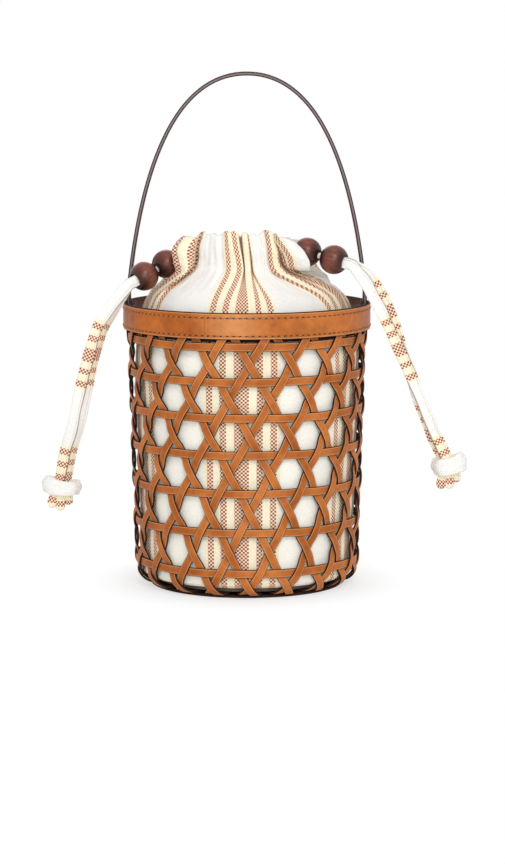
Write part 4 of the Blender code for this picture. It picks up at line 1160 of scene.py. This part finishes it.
CREST = np.array([
    (-103, 247), (-98, 249), (-94, 251.5), (-86, 254), (-77, 252.5), (-70, 256), (-64, 257), (-54, 255),
    (-34, 255), (-25, 256.5), (-20, 258), (-15, 256.5), (-10, 258), (-4, 256), (0, 253), (5, 256),
    (10, 256.5), (17, 253), (24, 255.5), (40, 255), (56, 255), (62, 257), (70, 258.5), (78, 257.5),
    (86, 254), (94, 256), (103, 253), (110, 254), (120, 253), (127, 250.5), (136, 248), (142, 246.5)])
LEAN = np.array([
    (-100, 0), (-84, 0), (-78, 4), (-71, 9), (-64, 7), (-54, 2), (-30, -1.5), (-20, -3), (-12, -6),
    (-5, -5), (5, -3), (12, -3), (25, -4), (45, -5), (68, -4.5), (80, -4), (88, -7), (95, -10),
    (103, -12), (110, -10), (120, -8), (127, -6), (142, 0)])
cloth_mm = cloth_at / MM
lead = at_height([(190, 0), (205, 0.06), (211, 0.15), (216, 0.32), (222, 0.62), (229, 0.96), (233, 1)])
late_lead = at_height([(190, 0), (205, 0.02), (211, 0.05), (216, 0.12), (222, 0.36), (228, 0.8), (233, 1)])
late = smooth_step(84, 108, cloth_mm) * (1 - smooth_step(150, 180, cloth_mm))
lead = lead + late * (late_lead - lead)
fold_swell = at_height([(200, 0), (206, 0.06), (213, 0.14), (219, 0.28), (224, 0.55), (229, 1), (246, 1),
                        (255, 1.1)])
left_swell = at_height([
    (206, 0), (213, 0.04), (219, 0.08), (224, 0.16), (228, 0.4), (231, 0.7), (235, 0.96), (241, 1.04),
    (247, 1), (251, 0.85), (255, 0.62)])
right_swell = at_height([
    (202, 0), (208, 0.01), (213, 0.03), (219, 0.07), (224, 0.2), (227, 0.46), (230, 0.84), (233, 1.02),
    (240, 1.05), (247, 0.94), (252, 0.8), (255, 0.66)])
rolls = smooth_step(4.5, 9.0, neck_push)
swell = fold_swell + rolls * (np.where(wall_angle > 0, right_swell, left_swell) - fold_swell)
stand = at_height([(232, 0), (240, 0.3), (255, 1)])
crest = np.mean([np.interp(cloth_mm + shift, *CREST.T) for shift in (-3, -1.5, 0, 1.5, 3)], axis=0)
crest = crest - POUCH_PROFILE[-1, 1] / MM + 0.5 * np.sin(17 * wall_angle) + 0.5 * np.sin(29 * wall_angle)
angle = wall_angle + lead * (neck_angle - wall_angle) + stand * np.radians(np.interp(cloth_at / MM, *LEAN.T))
puffed = (8 * smooth_step(66, 80, cloth_mm) * (1 - smooth_step(90, 108, cloth_mm))
          + 4 * smooth_step(-110, -92, cloth_mm) * (1 - smooth_step(-80, -66, cloth_mm))
          - 6 * smooth_step(100, 114, cloth_mm) * (1 - smooth_step(140, 160, cloth_mm)))
under_rolls = at_height([(204, 0), (210, 0.2), (216, 0.6), (221, 0.92), (225, 1), (229, 0.7), (233, 0.2),
                         (237, 0)])
radius = pouch_r[:, None] + (swell * neck_push + under_rolls * puffed) * MM
height = pouch_z[:, None] + stand * crest * MM


def wrinkles(across, along, shortest, longest, count):
    """Creases: plane waves in random directions over the cloth, in mm from the shortest to the longest,
    each as deep as it is long."""
    long = rng.uniform(shortest, longest, count) * MM
    turn = rng.uniform(-0.5, 0.5, count) * np.pi
    phase = rng.uniform(0, 2 * np.pi, count)
    wave = [(np.abs(np.sin(np.pi * (np.cos(b) * across + np.sin(b) * along) / a + c)) - 0.64) * a
            for a, b, c in zip(long, turn, phase)]
    return np.sum(wave, axis=0)


slack = at_height([(7, 0.0), (16, 1.0), (60, 0.6), (180, 0.5), (205, 0.8), (225, 0.5), (240, 0.5)])
crumple = at_height([(7, 0.0), (16, 0.3), (190, 0.2), (208, 0.7), (225, 1.0), (255, 1.0)])
wrapped = np.minimum(cloth_at[None, :] % (CLOTH_ROUND * MM), 1.0)
creases = (0.004 * slack * wrinkles(wrapped, row_at[:, None], 14, 60, 14)
           + 0.016 * crumple * wrinkles(wrapped, row_at[:, None], 7, 18, 12))
drawn = at_height([(208, 0), (218, 0.35), (226, 0.9), (231, 1), (240, 0.8), (255, 0.6)])
gathered = 0.55 * MM * np.sin(5 * wall_angle + 0.9) ** 2 + 0.12 * MM
fine_wave = 61 * wall_angle + 2.4 * np.sin(7 * wall_angle) + row_at[:, None] / (24 * MM)
creases += gathered * drawn * np.sin(fine_wave)
seam = smooth_step(0, 20 * MM, wrapped) * smooth_step(0, 20 * MM, CLOTH_ROUND * MM - wrapped)
crease_limit = at_height([(190, 0.7), (210, 1.4)]) * MM
outer_cloth = plan(angle, radius + np.clip(creases * seam, -1.4 * MM, crease_limit), height)
hem_from = outer_cloth[-1:-HEM_ROWS - 1:-1]
hem_run = np.roll(hem_from, -1, axis=1) - np.roll(hem_from, 1, axis=1)
inward = unit(np.stack([-hem_run[..., 1], hem_run[..., 0], 0 * hem_run[..., 0]], axis=-1))
turn_in = np.minimum(np.arange(1, HEM_ROWS + 1) / 3, 1)[:, None, None]
turned = hem_from + inward * CASING_GAP * np.sqrt(1 - (1 - turn_in) ** 2)
turned[..., 2] += 0.5 * MM * np.sin(np.pi * turn_in[..., 0])
pouch_points = np.concatenate([outer_cloth, turned])
cloth_v = np.concatenate([row_at, 2 * row_at[-1] - row_at[-1:-HEM_ROWS - 1:-1] + 0.5 * MM])
cloth_u = np.append(cloth_at, cloth_at[0] + CLOTH_ROUND * MM) + CLUSTER / 2
pouch_uv = np.stack(np.broadcast_arrays(cloth_u[None, :], cloth_v[:, None]), axis=-1)
# painted light: the cloth below the rim is marked to be drawn whiter
sheltered = np.append(1 - smooth_step(186 * MM, 204 * MM, pouch_z), np.zeros(HEM_ROWS))
pouch = add_surface("canvas_pouch", pouch_points, wrap=(False, True), uv=pouch_uv,
                    sheltered=sheltered[:, None])
dress(pouch, canvas, "bag", "striped_canvas", "pouch")
thick = pouch.modifiers.new("cloth_thickness", "SOLIDIFY")
thick.thickness, thick.offset = 0.6 * MM, -1.0
print("pouch:", len(pouch.data.vertices), "points")

# %% [markdown]
# ## Floor and light
# A plain white sweep. A small key lamp in front, above and a little to the right gives the
# highlights, a broad one in front lights the cloth behind the strips, weak ones above and behind lift
# the far sides, and the world adds even light. The floor keeps the bag's shadow. Rays from the
# camera, or by way of a reflection, see white.

# %% Floor, world and lights


def seen_rays(tree):
    """1 for rays from the camera, or by way of a reflection or a clear body, and 0 for the rest."""
    light_path = add_node(tree, "ShaderNodeLightPath")
    seen = light_path["Is Camera Ray"]
    for kind in ("Is Glossy Ray", "Is Transmission Ray"):
        seen = add_node(tree, "ShaderNodeMath", {0: seen, 1: light_path[kind]}, operation="MAXIMUM")["Value"]
    return seen


floor_mesh = bpy.data.meshes.new("floor")
floor_mesh.from_pydata([(-4, -4, 0), (4, -4, 0), (4, 4, 0), (-4, 4, 0)], [], [(0, 1, 2, 3)])
floor = bpy.data.objects.new("floor", floor_mesh)
bpy.context.scene.collection.objects.link(floor)
paper = bpy.data.materials.new("white_sweep")
paper.use_nodes = True
tree = paper.node_tree
tree.nodes.remove(tree.nodes["Principled BSDF"])
seen = seen_rays(tree)
place = add_node(tree, "ShaderNodeTexCoord")["Object"]
away = add_node(tree, "ShaderNodeVectorMath", {0: place}, operation="LENGTH")
far = add_node(tree, "ShaderNodeMapRange", {"Value": away["Value"], "From Min": 0.065, "From Max": 0.12,
                                            "To Min": 0.6}, interpolation_type="SMOOTHSTEP")
matt = add_node(tree, "ShaderNodeBsdfDiffuse", {"Color": colour("F4F3F1")})
glow = add_node(tree, "ShaderNodeEmission", {"Color": (1.0, 1.0, 1.0, 1.0), "Strength": 1.0})
white_share = add_node(tree, "ShaderNodeMath", {0: far["Result"], 1: seen}, operation="MULTIPLY")
ground_mix = add_node(tree, "ShaderNodeMixShader", {"Fac": white_share["Value"], 1: matt["BSDF"],
                                                    2: glow["Emission"]})
tree.links.new(ground_mix["Shader"], tree.nodes["Material Output"].inputs["Surface"])
floor_mesh.materials.append(paper)

world = bpy.data.worlds.new("studio")
bpy.context.scene.world = world
world.use_nodes = True
tree = world.node_tree
seen = seen_rays(tree)
strength = add_node(tree, "ShaderNodeMapRange", {"Value": seen, "To Min": 0.6, "To Max": 1.0})
tree.links.new(strength["Result"], tree.nodes["Background"].inputs["Strength"])
tree.nodes["Background"].inputs["Color"].default_value = (1.0, 1.0, 1.0, 1.0)

LAMPS = (
    ("key", (0.3, -1.6, 1.35), 0.45, 10.2),
    ("front", (0.0, -2.2, 0.45), 1.3, 15.2),
    ("top", (0.1, -0.2, 1.9), 1.4, 2.0),
    ("back", (-0.3, 2.0, 1.1), 1.6, 8.0),
)
for name, spot, size, watts in LAMPS:
    lamp_data = bpy.data.lights.new(name, "AREA")
    lamp_data.size, lamp_data.energy = size, watts
    lamp = bpy.data.objects.new(name, lamp_data)
    lamp.location = spot
    lamp.rotation_euler = (Vector((0.0, 0.0, 0.14)) - lamp.location).to_track_quat("-Z", "Y").to_euler()
    bpy.context.scene.collection.objects.link(lamp)
bpy.context.scene.view_settings.view_transform = "Standard"
print("lamps:", [lamp[0] for lamp in LAMPS])
